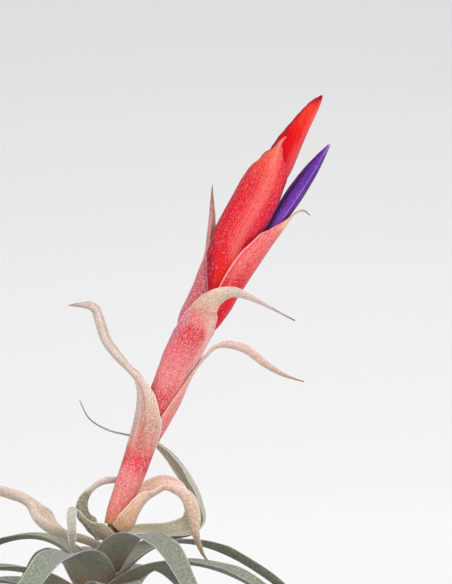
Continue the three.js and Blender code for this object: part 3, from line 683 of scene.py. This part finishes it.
# The front left leaf is short, and curls forwards and down.
upper_leaf("front_left_leaf", "upper_leaf_front_left", [
    sheath_rib(SPIKE_AXIS, 43, 252, 3, 38, 58),
    rib((1.4, -5.6, 45.4), (-0.1, -0.9, -0.5), 2.8, 46),
    rib((-1.4, -7.4, 47), (-0.4, -0.3, -0.85), 2.2, 54),
    rib((-3.6, -8.6, 49.4), (-0.6, 0.2, -0.75), 1.6, 60),
    rib((-4.9, -10.4, 50.5), (-0.1, 0.6, -0.75), 1.5, 62),
    rib((-5.2, -13.4, 49.1), (0, 0.85, -0.5), 1.45, 60),
    rib((-5, -16, 45), (0, 0.9, -0.4), 1.35, 54),
    rib((-4.8, -18.4, 42.6), (0, 0.8, -0.6), 1.1, 40),
    rib((-4.6, -20.8, 41), (0, 0.7, -0.7), 0.8, 24),
], silver_back, silver_channel)

# The front arch leaf clasps the foot of the scape, arches to the right and hangs down.
flushed_back = scaly_skin(
    "flushed_leaf_back",
    [(0, "#e0ac80"), (0.14, "#e8b898"), (0.3, "#f4d2bc"), (0.48, "#f2ccc2"), (0.58, "#d6baa4"),
     (0.75, "#c0a68c"), (1, "#86684e")],
    [(0, 0.4), (0.5, 0.5), (1, 0.5)],
    "#f8ebe2",
    glow=0.4,
    dot_colour="#c08478",
    margin="#f8ebe0",
)
flushed_channel = scaly_skin(
    "flushed_leaf_channel",
    [(0, "#dca068"), (0.18, "#ecc294"), (0.32, "#f6dcb8"), (0.5, "#f6e0cc"), (1, "#c4a888")],
    [(0, 0.2), (0.5, 0.35), (1, 0.4)],
    "#fcf0e4",
    glow=0.6,
    dot_colour="#c09070",
    margin="#fff6ee",
)
upper_leaf("front_arch_leaf", "upper_leaf_front_arch", [
    sheath_rib(SPIKE_AXIS, 45, 350, 3.05, 96),
    sheath_rib(SPIKE_AXIS, 48.2, 352, 4.4, 80, 80, 0.2),
    rib((10.8, 0.3, 50), (0.8, 0.07, -0.6), 3.75, 88),
    rib((13, 2.4, 53.3), (0.51, 0.53, -0.68), 2.8, 100, 96),
    rib((16.8, 2.1, 55.5), (0, 0.67, -0.74), 2.2, 102),
    rib((19, 0.7, 54.4), (-0.33, 0.31, -0.89), 2.3, 92),
    rib((20.3, -0.7, 53.4), (-0.74, -0.17, -0.65), 2.4, 84),
    rib((21.5, -2.2, 51.8), (-0.74, -0.57, -0.35), 2.6, 80),
    rib((22.5, -2.4, 48.8), (-0.78, -0.57, -0.25), 2.35, 80),
    rib((23.3, -2.7, 45), (-0.85, -0.4, -0.3), 2, 74),
    rib((24.6, -2.9, 41.6), (-0.75, -0.25, -0.6), 1.6, 60),
    rib((26.6, -2.9, 38.6), (-0.5, -0.1, -0.85), 1.1, 44),
    rib((29.4, -2.9, 36.8), (-0.3, -0.1, -0.95), 0.8, 24),
], flushed_back, flushed_channel, columns=20)

# Scape bracts. Each wraps the scape as a tight pink sheath, thick with pale scales, and ends in a
# narrow cream blade that curls away. They overlap from below: the left one lies outside the others.
BRACT_THICKNESS = 0.36
BRACT_ROWS = 110


def bract(name, node, ribs, back, inside, slot, columns, **shape):
    piece = sheet(name, sections_through(ribs, BRACT_ROWS), columns, BRACT_THICKNESS, **shape)
    finish(piece, node, slot, back, inside)


blade_inside = scaly_skin(
    "scape_bract_inside",
    [(0, "#a8503e"), (0.42, "#9c4a34"), (0.54, "#c48c70"), (0.64, "#dcc8bc"), (0.9, "#cfc8c2"),
     (1, "#8c7556")],
    [(0, 0.2), (0.6, 0.35), (1, 0.4)],
    "#efdfd2",
    dot_colour="#9c6450",
    roughness=0.75,
    glow=0.3,
    coat=0.5,
    margin="#ecdccb",
)

# The left bract wraps the foot of the scape. Its blade stands up and waves away to the left.
left_sheath = scaly_skin(
    "left_sheath",
    [(0, "#b9902a"), (0.03, "#dc8458"), (0.08, "#e87c70"), (0.2, "#e87c7e"), (0.27, "#dc3c48"),
     (0.35, "#d47c72"), (0.42, "#c08e7c"), (0.5, "#cbac9c"), (0.6, "#d6cac0"), (0.75, "#d6d0c9"),
     (0.93, "#cac1b7"), (1, "#6f5f48")],
    [(0, 0.3), (0.25, 0.4), (0.34, 0.35), (0.42, 0.45), (0.6, 0.5), (1, 0.5)],
    "#f2d6cc",
    bands=[(0.42, "#c0b8b0", 0.0), (0.52, "#c2c0b4", 0.7), (0.6, "#e8e0d4", 0.0),
           (0.64, "#f0e8dc", 0.4), (0.67, "#c05850", 0.1), (0.73, "#b84440", 0.5),
           (0.82, "#e0b49c", 0.1), (1, "#f0d0b4", 0.4)],
    bands_start=(0.28, 0.4),
    margin="#ecd9c6",
)
bract("left_scape_bract", "scape_bract_left", [
    *sheath(SPIKE_AXIS, 190, [
        (46.6, 2.4, 168, 168, -0.1), (50, 2.6, 170, 170, -0.2), (54.7, 2.87, 170, 170, 0.05),
        (58, 3.15, 168, 168, 0.2), (62, 3.3, 162, 162, 0.2), (65, 3.5, 152, 152, 0.1),
        (67.2, 3.72, 139, 139, 0.12), (69.5, 4, 128, 128, 0.07), (71.5, 4.3, 115, 115, -0.09),
    ]),
    rib((10, -0.8, 74.9), (-0.97, -0.2, 0), 4.2, 100),
    rib((10.2, -1, 77.5), (-0.97, -0.2, 0), 3.9, 92),
    rib((10.1, -1, 79.4), (-0.95, -0.2, -0.2), 3, 87),
    rib((9.4, -0.8, 81.7), (-0.86, 0.05, -0.5), 1.8, 92),
    rib((7.7, -1, 83.8), (-0.72, 0.16, -0.67), 1.35, 97),
    rib((4.9, -1.3, 86.5), (-0.73, 0.2, -0.65), 1.75, 100),
    rib((1.7, -1.8, 90.7), (-0.85, 0.2, -0.49), 1.8, 100),
    rib((0, -2.4, 95.8), (-0.94, 0.2, -0.27), 1.7, 100),
    rib((-0.9, -2.7, 98.3), (-0.69, 0.2, -0.69), 1.6, 100),
    rib((-3.1, -3.2, 99), (0, 0.2, -0.98), 1.1, 95),
    rib((-4.8, -3.4, 99.3), (0.05, 0.2, -0.98), 0.8, 80),
    rib((-6.4, -3.5, 99.5), (0.05, 0.2, -0.98), 0.5, 36),
], left_sheath, blade_inside, "scape_bract", 40, keel=0.12, wave=0.1)

# The right bract comes out of the left one, and its blade arches low to the right.
right_sheath = scaly_skin(
    "right_sheath",
    [(0, "#e2606a"), (0.2, "#e4656c"), (0.34, "#e8807e"), (0.42, "#e89c90"), (0.5, "#e4c0b2"),
     (0.6, "#dfc6bc"), (0.8, "#dcbeb4"), (0.94, "#c4a694"), (1, "#8c6238")],
    [(0, 0.35), (0.4, 0.4), (0.6, 0.45), (1, 0.45)],
    "#f4dccf",
    dots=0.16,
    bands=[(0, "#ecb09c", 0.7), (0.07, "#e8a094", 0.4), (0.14, "#eeb0a0", 0.0), (1, "#eeb0a0", 0.0)],
    margin="#ecbcaa",
)
bract("right_scape_bract", "scape_bract_right", [
    *sheath(SPIKE_AXIS, 12, [
        (56.6, 2.05, 165), (61.5, 2.45, 162), (65, 2.8, 150, 150, 0.15),
        (67.2, 3.02, 138, 138, 0.3), (69.5, 3.22, 110, 110, 0.42), (71.5, 3.42, 92, 92, 0.53),
        (74.4, 3.75, 81, 81, 0.48), (77.5, 4.1, 75, 75, 0.35), (80.4, 4.05, 64, 64, 0.35),
        (83, 4.2, 48, 48, 0.1),
    ]),
    rib((25.2, 1.2, 85.2), (0.85, 0.15, -0.5), 4.6, 33),
    rib((27.1, 1.2, 87.3), (0.75, 0, -0.65), 3, 38),
    rib((28.9, 1.2, 89), (0.4, -0.1, -0.9), 1.3, 72),
    rib((31.8, 1, 89.3), (-0.1, -0.3, -0.95), 1.6, 84),
    rib((36, 0.7, 88), (-0.5, -0.3, -0.85), 1.75, 84),
    rib((40.3, 0.3, 84.9), (-0.55, -0.3, -0.8), 1.5, 82),
    rib((45, -0.2, 82.5), (-0.4, -0.3, -0.9), 1.1, 74),
    rib((50.2, -0.8, 81.1), (-0.25, -0.3, -0.9), 0.6, 36),
], right_sheath, blade_inside, "scape_bract", 36, keel=0.08, wave=0.1)

# The front bract wraps the top of the scape and folds over to the right in a cream blade.
front_sheath = scaly_skin(
    "front_sheath",
    [(0, "#d02c38"), (0.22, "#d6404a"), (0.32, "#e67a7e"), (0.4, "#de646c"), (0.49, "#d43442"),
     (0.55, "#de7874"), (0.6, "#dfa893"), (0.66, "#dcbea6"), (0.8, "#d6c4bc"), (0.94, "#bcb2ae"),
     (1, "#7a6450")],
    [(0, 0.5), (0.4, 0.5), (0.5, 0.4), (0.6, 0.45), (1, 0.5)],
    "#f4ccc2",
    dots=0.3,
    coat=0.52,
    # Lavender band near the left edge: painted sheen at the silhouette. Pale pink band on the right:
    # painted highlight.
    bands=[(0.03, "#c8a0b0", 0.0), (0.12, "#b090a8", 0.55), (0.27, "#d08c94", 0.0),
           (0.58, "#f0b0a4", 0.0), (0.76, "#f6d0c4", 0.75)],
    bands_start=(0.66, 0.5),
    margin="#eadcc6",
)
bract("front_scape_bract", "scape_bract_front", [
    *sheath(SPIKE_AXIS, 268, [
        (64.5, 1.95, 165), (70, 2.45, 165, 165, 0.22), (74.4, 3.45, 165, 165, -0.25),
        (77.5, 3.6, 165, 165, -0.12), (80.6, 3.8, 164, 164, -0.1), (83, 3.92, 163, 163, -0.25),
        (86, 4.3, 158, 156, -0.24), (88.5, 4.38, 120, 140, -0.15), (91, 4.5, 78, 112, -0.15),
        (93.4, 4.85, 52, 92, -0.25), (95.4, 5.25, 44, 62, -0.2), (97, 5.6, 36, 45),
    ]),
    rib((26.4, -7, 98.9), (0, -0.95, 0.1), 4.3, 42),
    rib((28.8, -8.6, 101), (0, -0.85, -0.4), 3.2, 45),
    rib((32.8, -9.8, 102.2), (-0.1, -0.75, -0.65), 2.2, 50),
    rib((37, -10.4, 101), (-0.3, -0.6, -0.75), 1.5, 56),
    rib((41.7, -10.2, 98.9), (-0.35, -0.55, -0.8), 0.85, 52),
    rib((47.9, -9.6, 95.8), (-0.35, -0.55, -0.8), 0.5, 36),
], front_sheath, blade_inside, "scape_bract", 44, wave=0.08)

# Floral bracts. Boat-shaped, red and nearly smooth. They grow out of the spike's axis one above the
# other, and are rolled round each other into a pointed bud.
BUD_AXIS = [
    (22.9, 0, 91), (27.8, 0, 103.2), (31.8, 0, 112.1), (34.6, 0, 117.6), (38.3, 0, 124.8), (41.2, 0, 130.6),
    (43.5, 0, 134.4), (46.6, 0, 139.2), (49.7, 0, 144), (54.4, 0, 149.7),
]
red_inside = scaly_skin(
    "floral_bract_inside",
    [(0, "#a82820"), (0.5, "#b83034"), (0.64, "#a04a30"), (0.78, "#b0603c"), (0.86, "#d8bc98"),
     (0.97, "#c8ac88"), (1, "#4d3c2c")],
    [(0, 0.1), (1, 0.15)],
    "#f0b8a8",
    roughness=0.5,
    sheen=0.05,
    margin="#e8a8a0",
)

# The right floral bract stands open and holds the flower. Its tip has dried and curled over.
holding_back = scaly_skin(
    "holding_bract_back",
    [(0, "#c8082a"), (0.2, "#d80c2c"), (0.36, "#dc1430"), (0.46, "#dc2038"), (0.58, "#e45456"),
     (0.72, "#e26468"), (0.8, "#de7c78"), (0.85, "#e4c4a0"), (0.95, "#dcc8a0"), (1, "#3d2c1c")],
    [(0, 0.05), (0.36, 0.08), (0.46, 0.2), (0.55, 0.4), (0.75, 0.45), (0.85, 0.2), (1, 0.1)],
    "#f7a99c",
    roughness=0.42,
    dots=0.1,
    mottle=0.24,
    gloss=0.1,
    sheen=0.08,
    # Pale pink bands along one margin: a painted highlight on the folded edge.
    bands=[(0, "#ee9894", 0.5), (0.05, "#d03040", 0.5), (0.12, "#ee8880", 0.4), (0.2, "#e2504c", 0)],
    margin="#ea9c9c",
)
bract("right_floral_bract", "floral_bract_right", [
    *sheath(SPIKE_AXIS, 0, [
        (86.5, 2.6, 112), (90, 3.3, 102, 102, 0.15), (93.4, 3.65, 96, 96, 0.25),
        (95.4, 4.05, 92, 92, 0.42), (97, 4.5, 86, 86, 0.45), (99, 4.9, 86, 86, 0.35),
        (101, 5.2, 86, 86, 0.3),
    ]),
    rib((33.9, 0, 100.6), (0.89, 0, -0.45), 5.5, 88),
    rib((36.6, 0, 104.9), (0.88, 0, -0.47), 5.6, 90),
    rib((39.2, 0, 108.8), (0.88, 0, -0.48), 5.4, 92),
    rib((42.4, 0, 113.6), (0.87, 0, -0.5), 4.4, 88, 84),
    rib((44.4, 0.2, 116.4), (0.86, 0, -0.52), 2.9, 82, 72),
    rib((45.9, 0.4, 118.5), (0.86, 0, -0.52), 2.2, 70, 44),
    rib((47.15, 0.4, 120.4), (0.8, 0, -0.6), 1.35, 58, 30),
    rib((48.5, 0, 121.6), (0.5, 0, -0.85), 0.85, 66),
    rib((50.1, 0, 122), (-0.05, 0, -1), 0.75, 66),
    rib((51.6, 0, 121), (-0.85, 0, -0.5), 0.5, 40),
], holding_back, red_inside, "floral_bract", 40, wave=0.06)

# The front floral bract is the largest. It ends in a short narrow point.
front_back = scaly_skin(
    "front_bract_back",
    [(0, "#ea2c10"), (0.28, "#e62c18"), (0.4, "#d41428"), (0.6, "#d2142e"), (0.74, "#d62434"),
     (0.84, "#e04434"), (0.92, "#e87a54"), (1, "#e8907c")],
    [(0, 0.0), (0.24, 0.0), (0.4, 0.24), (0.6, 0.35), (0.85, 0.45), (1, 0.5)],
    "#f88c80",
    roughness=0.4,
    dots=0.15,
    dot_colour="#a81028",
    streaks=0.55,
    speck=0.2,
    stretch=1.8,
    coat=0.5,
    mottle=0.26,
    sheen=0.08,
    gloss=0.12,
    # Dark purple-red bands at both edges: painted shade where the bract turns away. Coral bands right of
    # the middle: painted highlight.
    bands=[(0.05, "#6c0830", 0.85), (0.14, "#8c0828", 0.75), (0.21, "#a80c2c", 0.5),
           (0.28, "#c80c20", 0.35), (0.42, "#d81828", 0.1), (0.58, "#f2746c", 0.5),
           (0.66, "#f27c74", 0.5), (0.74, "#e22040", 0.5), (0.9, "#c80840", 0.65), (1, "#a0083c", 0.8)],
    bands_start=(0.02, 0.3),
    margin="#e8788c",
)
bract("front_floral_bract", "floral_bract_front", [
    sheath_rib(BUD_AXIS, 94, 280, 2.6, 30, 70),
    sheath_rib(BUD_AXIS, 96, 288, 3.5, 24, 70),
    sheath_rib(BUD_AXIS, 98, 292, 4.3, 24, 68, -0.1),
    sheath_rib(BUD_AXIS, 100.5, 298, 4.7, 32, 62, -0.25),
    sheath_rib(BUD_AXIS, 103.2, 298, 4.9, 33, 63, -0.35),
    sheath_rib(BUD_AXIS, 105.5, 288, 5.1, 36, 74, -0.35),
    sheath_rib(BUD_AXIS, 108, 275, 5.2, 40, 86, -0.25),
    sheath_rib(BUD_AXIS, 110, 268, 5.1, 52, 92, -0.1),
    *sheath(BUD_AXIS, 262, [
        (112.1, 4.9, 80, 92, 0.12), (115, 5.17, 96, 90, -0.17), (117.6, 5.35, 100, 90, -0.14),
        (121, 5.55, 104, 90, 0.13), (124.8, 5.46, 106, 92, 0.2), (127.5, 5.35, 104, 95, 0.18),
    ]),
    sheath_rib(BUD_AXIS, 130.6, 261, 5, 98, 90, 0.14),
    sheath_rib(BUD_AXIS, 132.5, 256, 4.76, 92, 78, 0.14),
    sheath_rib(BUD_AXIS, 134.4, 244, 4.25, 68, 56, 0.6),
    sheath_rib(BUD_AXIS, 136, 240, 3.85, 29, 27, 0.72),
    sheath_rib(BUD_AXIS, 137.6, 234, 3.6, 13, 11, 0.66),
    sheath_rib(BUD_AXIS, 139.4, 241, 3.4, 4, 4, 0.6),
], front_back, red_inside, "floral_bract", 40, nerves=9)

# The back floral bract is narrow, and its blade stands up along the left of the bud.
narrow_back = scaly_skin(
    "back_bract_back",
    [(0, "#cc7078"), (0.25, "#cc6a74"), (0.45, "#c85462"), (0.52, "#cc7e80"), (0.62, "#cfa090"),
     (0.8, "#c6a08c"), (0.95, "#9c7c5c"), (1, "#5a4630")],
    [(0, 0.5), (1, 0.5)],
    "#ecc8c0",
    roughness=0.65,
    # Lavender band down the middle of the sheet, on the bract's left flank: painted sheen at the
    # silhouette.
    bands=[(0.3, "#b8a0b2", 0.0), (0.52, "#bca6b6", 0.6), (0.66, "#c05060", 0.3),
           (0.85, "#b82c44", 0.6), (1, "#b83044", 0.5)],
    margin="#e0a8a0",
)
bract("back_floral_bract", "floral_bract_back", [
    sheath_rib(SPIKE_AXIS, 87.5, 150, 2.2, 60, 70, -0.5),
    sheath_rib(SPIKE_AXIS, 91, 154, 2.75, 80, 90, -1),
    sheath_rib(SPIKE_AXIS, 93.4, 156, 3.2, 90, 98, -1.3),
    sheath_rib(SPIKE_AXIS, 95.4, 158, 3.55, 100, 104, -1.5),
    sheath_rib(SPIKE_AXIS, 99, 160, 3.7, 104, 108, -1.55),
    sheath_rib(BUD_AXIS, 103.2, 163, 3.9, 88, 112, -0.6),
    sheath_rib(BUD_AXIS, 105.5, 160, 3.75, 76, 100, -0.9),
    sheath_rib(BUD_AXIS, 108, 157, 3.55, 70, 86, -1.2),
    rib((26.5, 2.3, 112.5), (-0.9, 0.35, 0.16), 2.7, 72, 68),
    rib((26.8, 2.9, 114.8), (-0.9, 0.41, 0.1), 2, 84),
    rib((27.05, 2.9, 117.4), (-0.9, 0.42, 0.08), 1.45, 92),
    rib((27.4, 2.9, 120.7), (-0.91, 0.4, 0.05), 1.1, 94),
    rib((27.65, 2.7, 123.8), (-0.91, 0.4, 0.05), 0.8, 90),
    rib((27.9, 2.5, 126.7), (-0.92, 0.35, 0.05), 0.5, 75),
    rib((28.15, 2.4, 128.5), (-0.92, 0.35, 0.05), 0.35, 30),
], narrow_back, red_inside, "floral_bract", 24, wave=0.05)

# The top floral bract is rolled to a cone, the point of the bud.
top_back = scaly_skin(
    "top_bract_back",
    [(0, "#d83038"), (0.5, "#da2c36"), (0.6, "#cc0420"), (0.74, "#d20618"), (0.84, "#dc1c14"),
     (0.9, "#e04028"), (0.95, "#dc3430"), (1, "#5d0c20")],
    [(0, 0.15), (0.55, 0.1), (0.65, 0.0), (0.8, 0.04), (0.9, 0.16), (1, 0.1)],
    "#f2746a",
    roughness=0.34,
    dots=0.04,
    speck=0.2,
    stretch=2.0,
    coat=0.3,
    mottle=0.1,
    dot_colour="#a00c20",
    streaks=0.6,
    sheen=0.0,
    gloss=0.06,
    # Dark maroon bands at both edges: painted shade where the cone turns away. Coral bands on its right:
    # painted highlight.
    bands=[(0.0, "#5c0418", 0.95), (0.05, "#780820", 0.8), (0.1, "#c00428", 0.5),
           (0.26, "#d0041c", 0.1), (0.34, "#ee504c", 0.55), (0.42, "#ee6a68", 0.7),
           (0.465, "#d03044", 0.6), (0.5, "#90082c", 0.85), (1, "#a00c2c", 0.4)],
)
bract("top_floral_bract", "floral_bract_top", [
    *sheath(BUD_AXIS, 2, [
        (99, 2.3, 160), (105, 3.2, 168), (112.1, 3.9, 172, 172, 0.1), (117.6, 4.2, 174, 174, 0.2),
        (124.8, 4.4, 175, 175, 0.5), (127.5, 4.3, 175, 175, 0.6), (130.6, 3.92, 175, 175, 0.72),
        (132.5, 3.7, 175, 175, 0.93), (134.4, 3.54, 175, 175, 0.94), (137, 3.42, 175, 175, 0.55),
        (139.2, 3.12, 174, 174, 0.33), (141.5, 2.68, 174, 174, 0.34), (144, 2.22, 173, 173, 0.3),
        (146, 1.86, 172, 172, 0.13), (147.6, 1.48, 170, 170, -0.08), (149, 1.02, 160, 160, -0.25),
    ]),
    rib((54.75, 0, 149.9), (0.92, 0, -0.39), 0.35, 120),
], top_back, red_inside, "floral_bract", 44, nerves=7)

# Flower. Three thin sepals round the foot of three violet petals, which roll over each other into a
# closed pointed tube with a pale tip.
FLOWER_AXIS = [
    (33.2, 0, 102.1), (37.2, 0.4, 109.4), (42.3, 0.8, 117.6), (48, 1, 126.2), (52.1, 0.6, 132.2),
    (54.5, 0, 135.6), (56.5, 0, 138.3),
]
FLOWER_PARTS = 3
PETAL_THICKNESS = 0.26
SEPAL_THICKNESS = 0.2
WHORL_ROWS = 60
VEINS_PER_MM = (3.0, 0.16)
FRECKLES_PER_MM = 3.0
PETAL_COLOURS = [
    (0, "#b9a0c8"), (0.3, "#8444ac"), (0.5, "#6c2aa0"), (0.8, "#541a8e"), (0.92, "#6c2ca2"),
    (0.98, "#9a62b8"), (1, "#d4c8d0"),
]


def whorl(name, node, first_azimuth, wrap, steps, thickness, columns, skin, spiral=0.0):
    """Like parts in a ring round the flower's axis. Each step up a part is a height and a radius."""
    for part in range(FLOWER_PARTS):
        azimuth = first_azimuth + part * 360 / FLOWER_PARTS
        ribs = sheath(FLOWER_AXIS, azimuth, [(height, radius, *wrap) for height, radius in steps])
        sections = sections_through(ribs, WHORL_ROWS)
        piece = sheet(f"{name}_{part + 1}", sections, columns, thickness, spiral=spiral)
        finish(piece, f"{node}_{part + 1}", node, skin, skin)


def petal_skin():
    """Violet, deepest in the middle and palest at the foot and the tip, with fine lengthwise veins,
    freckles, a band of painted shade across each petal and a pale margin where one petal lies over
    the next."""
    material, tree, shader = new_material("petal_skin")
    across, along, grain = places_on(tree)
    veins = drawn_out(tree, grain, *VEINS_PER_MM)
    cells = put(tree, "TexNoise", {0: in_millimetres(tree), "Scale": FRECKLES_PER_MM, "Detail": 2})[0]
    body = ramp(tree, along, PETAL_COLOURS)
    body = blended(tree, times(tree, step(tree, veins, 0.5, 0.8), 0.4), body, paint("#8c58c8"))
    # Painted shade: a dark band across each petal, for the flower's darker left side.
    fold = times(tree, step(tree, across, 0.85, 0.5), step(tree, across, 0.15, 0.35))
    body = blended(tree, times(tree, fold, 0.7), body, paint("#2c1048"))
    freckles = step(tree, cells, 0.5, 0.72)
    body = blended(tree, times(tree, freckles, 0.4), body, paint("#9a70d4"))
    margin = step(tree, across, 0.96, 1.0)
    colour = blended(tree, times(tree, margin, 0.9), body, paint("#d8c0f4"))
    relief = roughened(tree, plus(tree, veins, times(tree, cells, 0.4)), 0.3, 0.08)
    feed(tree, shader, {
        "Base Color": colour,
        "Normal": relief,
        "Roughness": 0.4,
        "Specular IOR Level": 0.25,
    })
    return material


petal = petal_skin()
whorl("violet_petal", "petal", 350, (60, 66), [
    (104.5, 0.5), (109.2, 0.75), (113.4, 1.05), (117.5, 1.4), (122, 1.95), (126.2, 2.1),
    (129.6, 1.9), (132.2, 1.62), (135.2, 1), (137, 0.5), (138.2, 0.2),
], PETAL_THICKNESS, 16, petal, spiral=0.14)
sepal = scaly_skin(
    "sepal_skin",
    [(0, "#e8c8a8"), (0.6, "#e08a70"), (1, "#d4604e")],
    [(0, 0.1), (1, 0.1)],
    "#f4d8c8",
    roughness=0.5,
)
whorl("inner_sepal", "sepal", 0, (54, 54), [
    (103.6, 0.8), (107, 1), (110.4, 1.2), (113.6, 1.35), (116.4, 1.6),
], SEPAL_THICKNESS, 10, sepal)

# Stamens and pistil. Six thread-like filaments with yellow anthers stand round one style inside the
# closed petals. Each is one soft rod that swells where the anther or the ovary is.
STAMENS = 6
STAMEN_HEIGHTS = (112, 131)
STAMEN_DISTANCES = (0.46, 0.95)
PISTIL_HEIGHTS = (106.4, 132.6)
FILAMENT_RADII = [0.13, 0.13, 0.13, 0.13, 0.13, 0.27, 0.27, 0.12]
STYLE_RADII = [0.3, 0.3, 0.16, 0.16, 0.16, 0.16, 0.28, 0.1]
THREAD_SIDES = 8
THREAD_FOOT = 0.1
POLLEN_HEIGHTS = (124, 126)


def thread_skin():
    """Cream, yellow with pollen towards the end."""
    material, tree, shader = new_material("thread_skin")
    place = in_millimetres(tree)
    height = put(tree, "SeparateXYZ", {0: place})["Z"]
    pollen = put(tree, "TexNoise", {0: place, "Scale": 6.0, "Detail": 2})[0]
    yellow = blended(tree, pollen, paint("#f0d060"), paint("#c89820"))
    colour = blended(tree, step(tree, height, *POLLEN_HEIGHTS), paint("#ece4cc"), yellow)
    relief = roughened(tree, pollen, 0.3, 0.04)
    feed(tree, shader, {"Base Color": colour, "Normal": relief, "Roughness": 0.6})
    return material


def thread(name, node, heights, azimuth, distances, radii):
    """A rod that rises inside the flower, between two heights and two distances from its axis."""
    places = zip(np.linspace(*heights, len(radii)), np.linspace(*distances, len(radii)))
    points = [sheath_rib(FLOWER_AXIS, height, azimuth, distance, 0)[0] for height, distance in places]
    piece = grown_rod(name, points, radii, THREAD_SIDES, THREAD_FOOT)
    finish(piece, node, "filament", threads)


threads = thread_skin()
for index in range(STAMENS):
    number = index + 1
    azimuth = 360 * index / STAMENS
    name = f"filament_{number}"
    thread(name, f"stamen_{number}", STAMEN_HEIGHTS, azimuth, STAMEN_DISTANCES, FILAMENT_RADII)
thread("style", "pistil", PISTIL_HEIGHTS, 0, (0, 0), STYLE_RADII)

# Floor and backdrop. One pale sheet of paper that lies under the plant and sweeps up behind it. It is
# painted a little darker higher up: painted shade, where less light reaches the backdrop.
SWEEP_WIDTH = 8000
SWEEP_DEPTH = 3000
SWEEP_FOLDS = 12
FOLD_LENGTH = 200
BACKDROP_HEIGHT = 4000
PAPER_LIGHT_HEIGHT = 0.05
PAPER_DARK_HEIGHT = 0.32
bpy.ops.object.select_all(action="DESELECT")
bpy.ops.mesh.primitive_plane_add(size=1, location=(0, 0, 0))
sweep = bpy.context.object
sweep.name = "paper_sweep"
sweep.scale = (SWEEP_WIDTH * MM, SWEEP_DEPTH * MM, 1)
bpy.ops.object.transform_apply(scale=True)
bpy.ops.object.mode_set(mode="EDIT")
bpy.ops.mesh.select_mode(type="EDGE")
bpy.ops.mesh.select_all(action="DESELECT")
bpy.ops.object.mode_set(mode="OBJECT")
for edge in sweep.data.edges:
    edge.select = all(sweep.data.vertices[corner].co.y > 0 for corner in edge.vertices)
bpy.ops.object.mode_set(mode="EDIT")
for fold in range(1, SWEEP_FOLDS + 1):
    lean = math.radians(90 * fold / SWEEP_FOLDS)
    onward = np.array([0, math.cos(lean), math.sin(lean)]) * FOLD_LENGTH * MM
    bpy.ops.mesh.extrude_region_move(TRANSFORM_OT_translate={"value": onward})
bpy.ops.mesh.extrude_region_move(TRANSFORM_OT_translate={"value": (0, 0, BACKDROP_HEIGHT * MM)})
bpy.ops.object.mode_set(mode="OBJECT")
paper, paper_tree, paper_shader = new_material("paper")
paper_height = put(paper_tree, "SeparateXYZ", {0: put(paper_tree, "TexCoord", {})["Object"]})["Z"]
# Painted shade: the paper darkens from the floor up the backdrop.
backdrop_shade = step(paper_tree, paper_height, PAPER_LIGHT_HEIGHT, PAPER_DARK_HEIGHT)
paper_colour = ramp(paper_tree, backdrop_shade, [(0, "#f4f3f2"), (1, "#ebebeb")])
feed(paper_tree, paper_shader, {"Base Color": paper_colour, "Roughness": 0.9})
sweep.data.materials.append(paper)
sweep.data.shade_smooth()

# Camera and light. The photograph is a level view from far off, 0.24 mm to each of its pixels. The
# foot of the plant is below its lower edge. Distances to the camera and the lamps are in metres.
PIXEL = 0.24
PHOTO_WIDTH = 452
PHOTO_HEIGHT = 584
FOOT_COLUMN = 95
FOOT_ROW = 720
CAMERA_DISTANCE = 1.2
SENSOR = 24
camera_data = bpy.data.cameras.new("camera")
camera = bpy.data.objects.new("camera", camera_data)
bpy.context.scene.collection.objects.link(camera)
camera.location = (
    (PHOTO_WIDTH / 2 - FOOT_COLUMN) * PIXEL * MM,
    -CAMERA_DISTANCE,
    (FOOT_ROW - PHOTO_HEIGHT / 2) * PIXEL * MM,
)
camera.rotation_euler = (math.radians(90), 0, 0)
camera_data.sensor_fit = "VERTICAL"
camera_data.sensor_height = SENSOR
camera_data.lens = SENSOR * CAMERA_DISTANCE / (PHOTO_HEIGHT * PIXEL * MM)
camera_data.clip_start = 0.01
camera_data.clip_end = 20
bpy.context.scene.camera = camera


def soft_light(name, place, aim, size, power, colour):
    """A large square lamp that shines from its place towards a point."""
    data = bpy.data.lights.new(name, "AREA")
    data.size = size
    data.energy = power
    data.color = colour
    lamp = bpy.data.objects.new(name, data)
    bpy.context.scene.collection.objects.link(lamp)
    lamp.location = place
    away = np.array(place, float) - np.array(aim, float)
    level = math.hypot(away[0], away[1])
    lamp.rotation_euler = (math.atan2(level, away[2]), 0, math.atan2(away[0], -away[1]))


PLANT_MIDDLE = (0.03, 0, 0.09)
soft_light("key", (0.5, -0.9, 0.8), PLANT_MIDDLE, 0.5, 8, (1, 0.98, 0.95))
soft_light("fill", (-1.0, -0.7, 0.5), PLANT_MIDDLE, 1.0, 5, (0.95, 0.97, 1))
soft_light("back", (0.2, 1.2, 1.4), (0.03, 0.8, 0.3), 1.5, 12, (1, 1, 1))
world = bpy.data.worlds.new("studio")
bpy.context.scene.world = world
world.use_nodes = True
sky = world.node_tree.nodes["Background"]
feed(world.node_tree, sky, {"Color": paint("#f4f5f8"), "Strength": 0.6})
bpy.context.scene.view_settings.view_transform = "Standard"
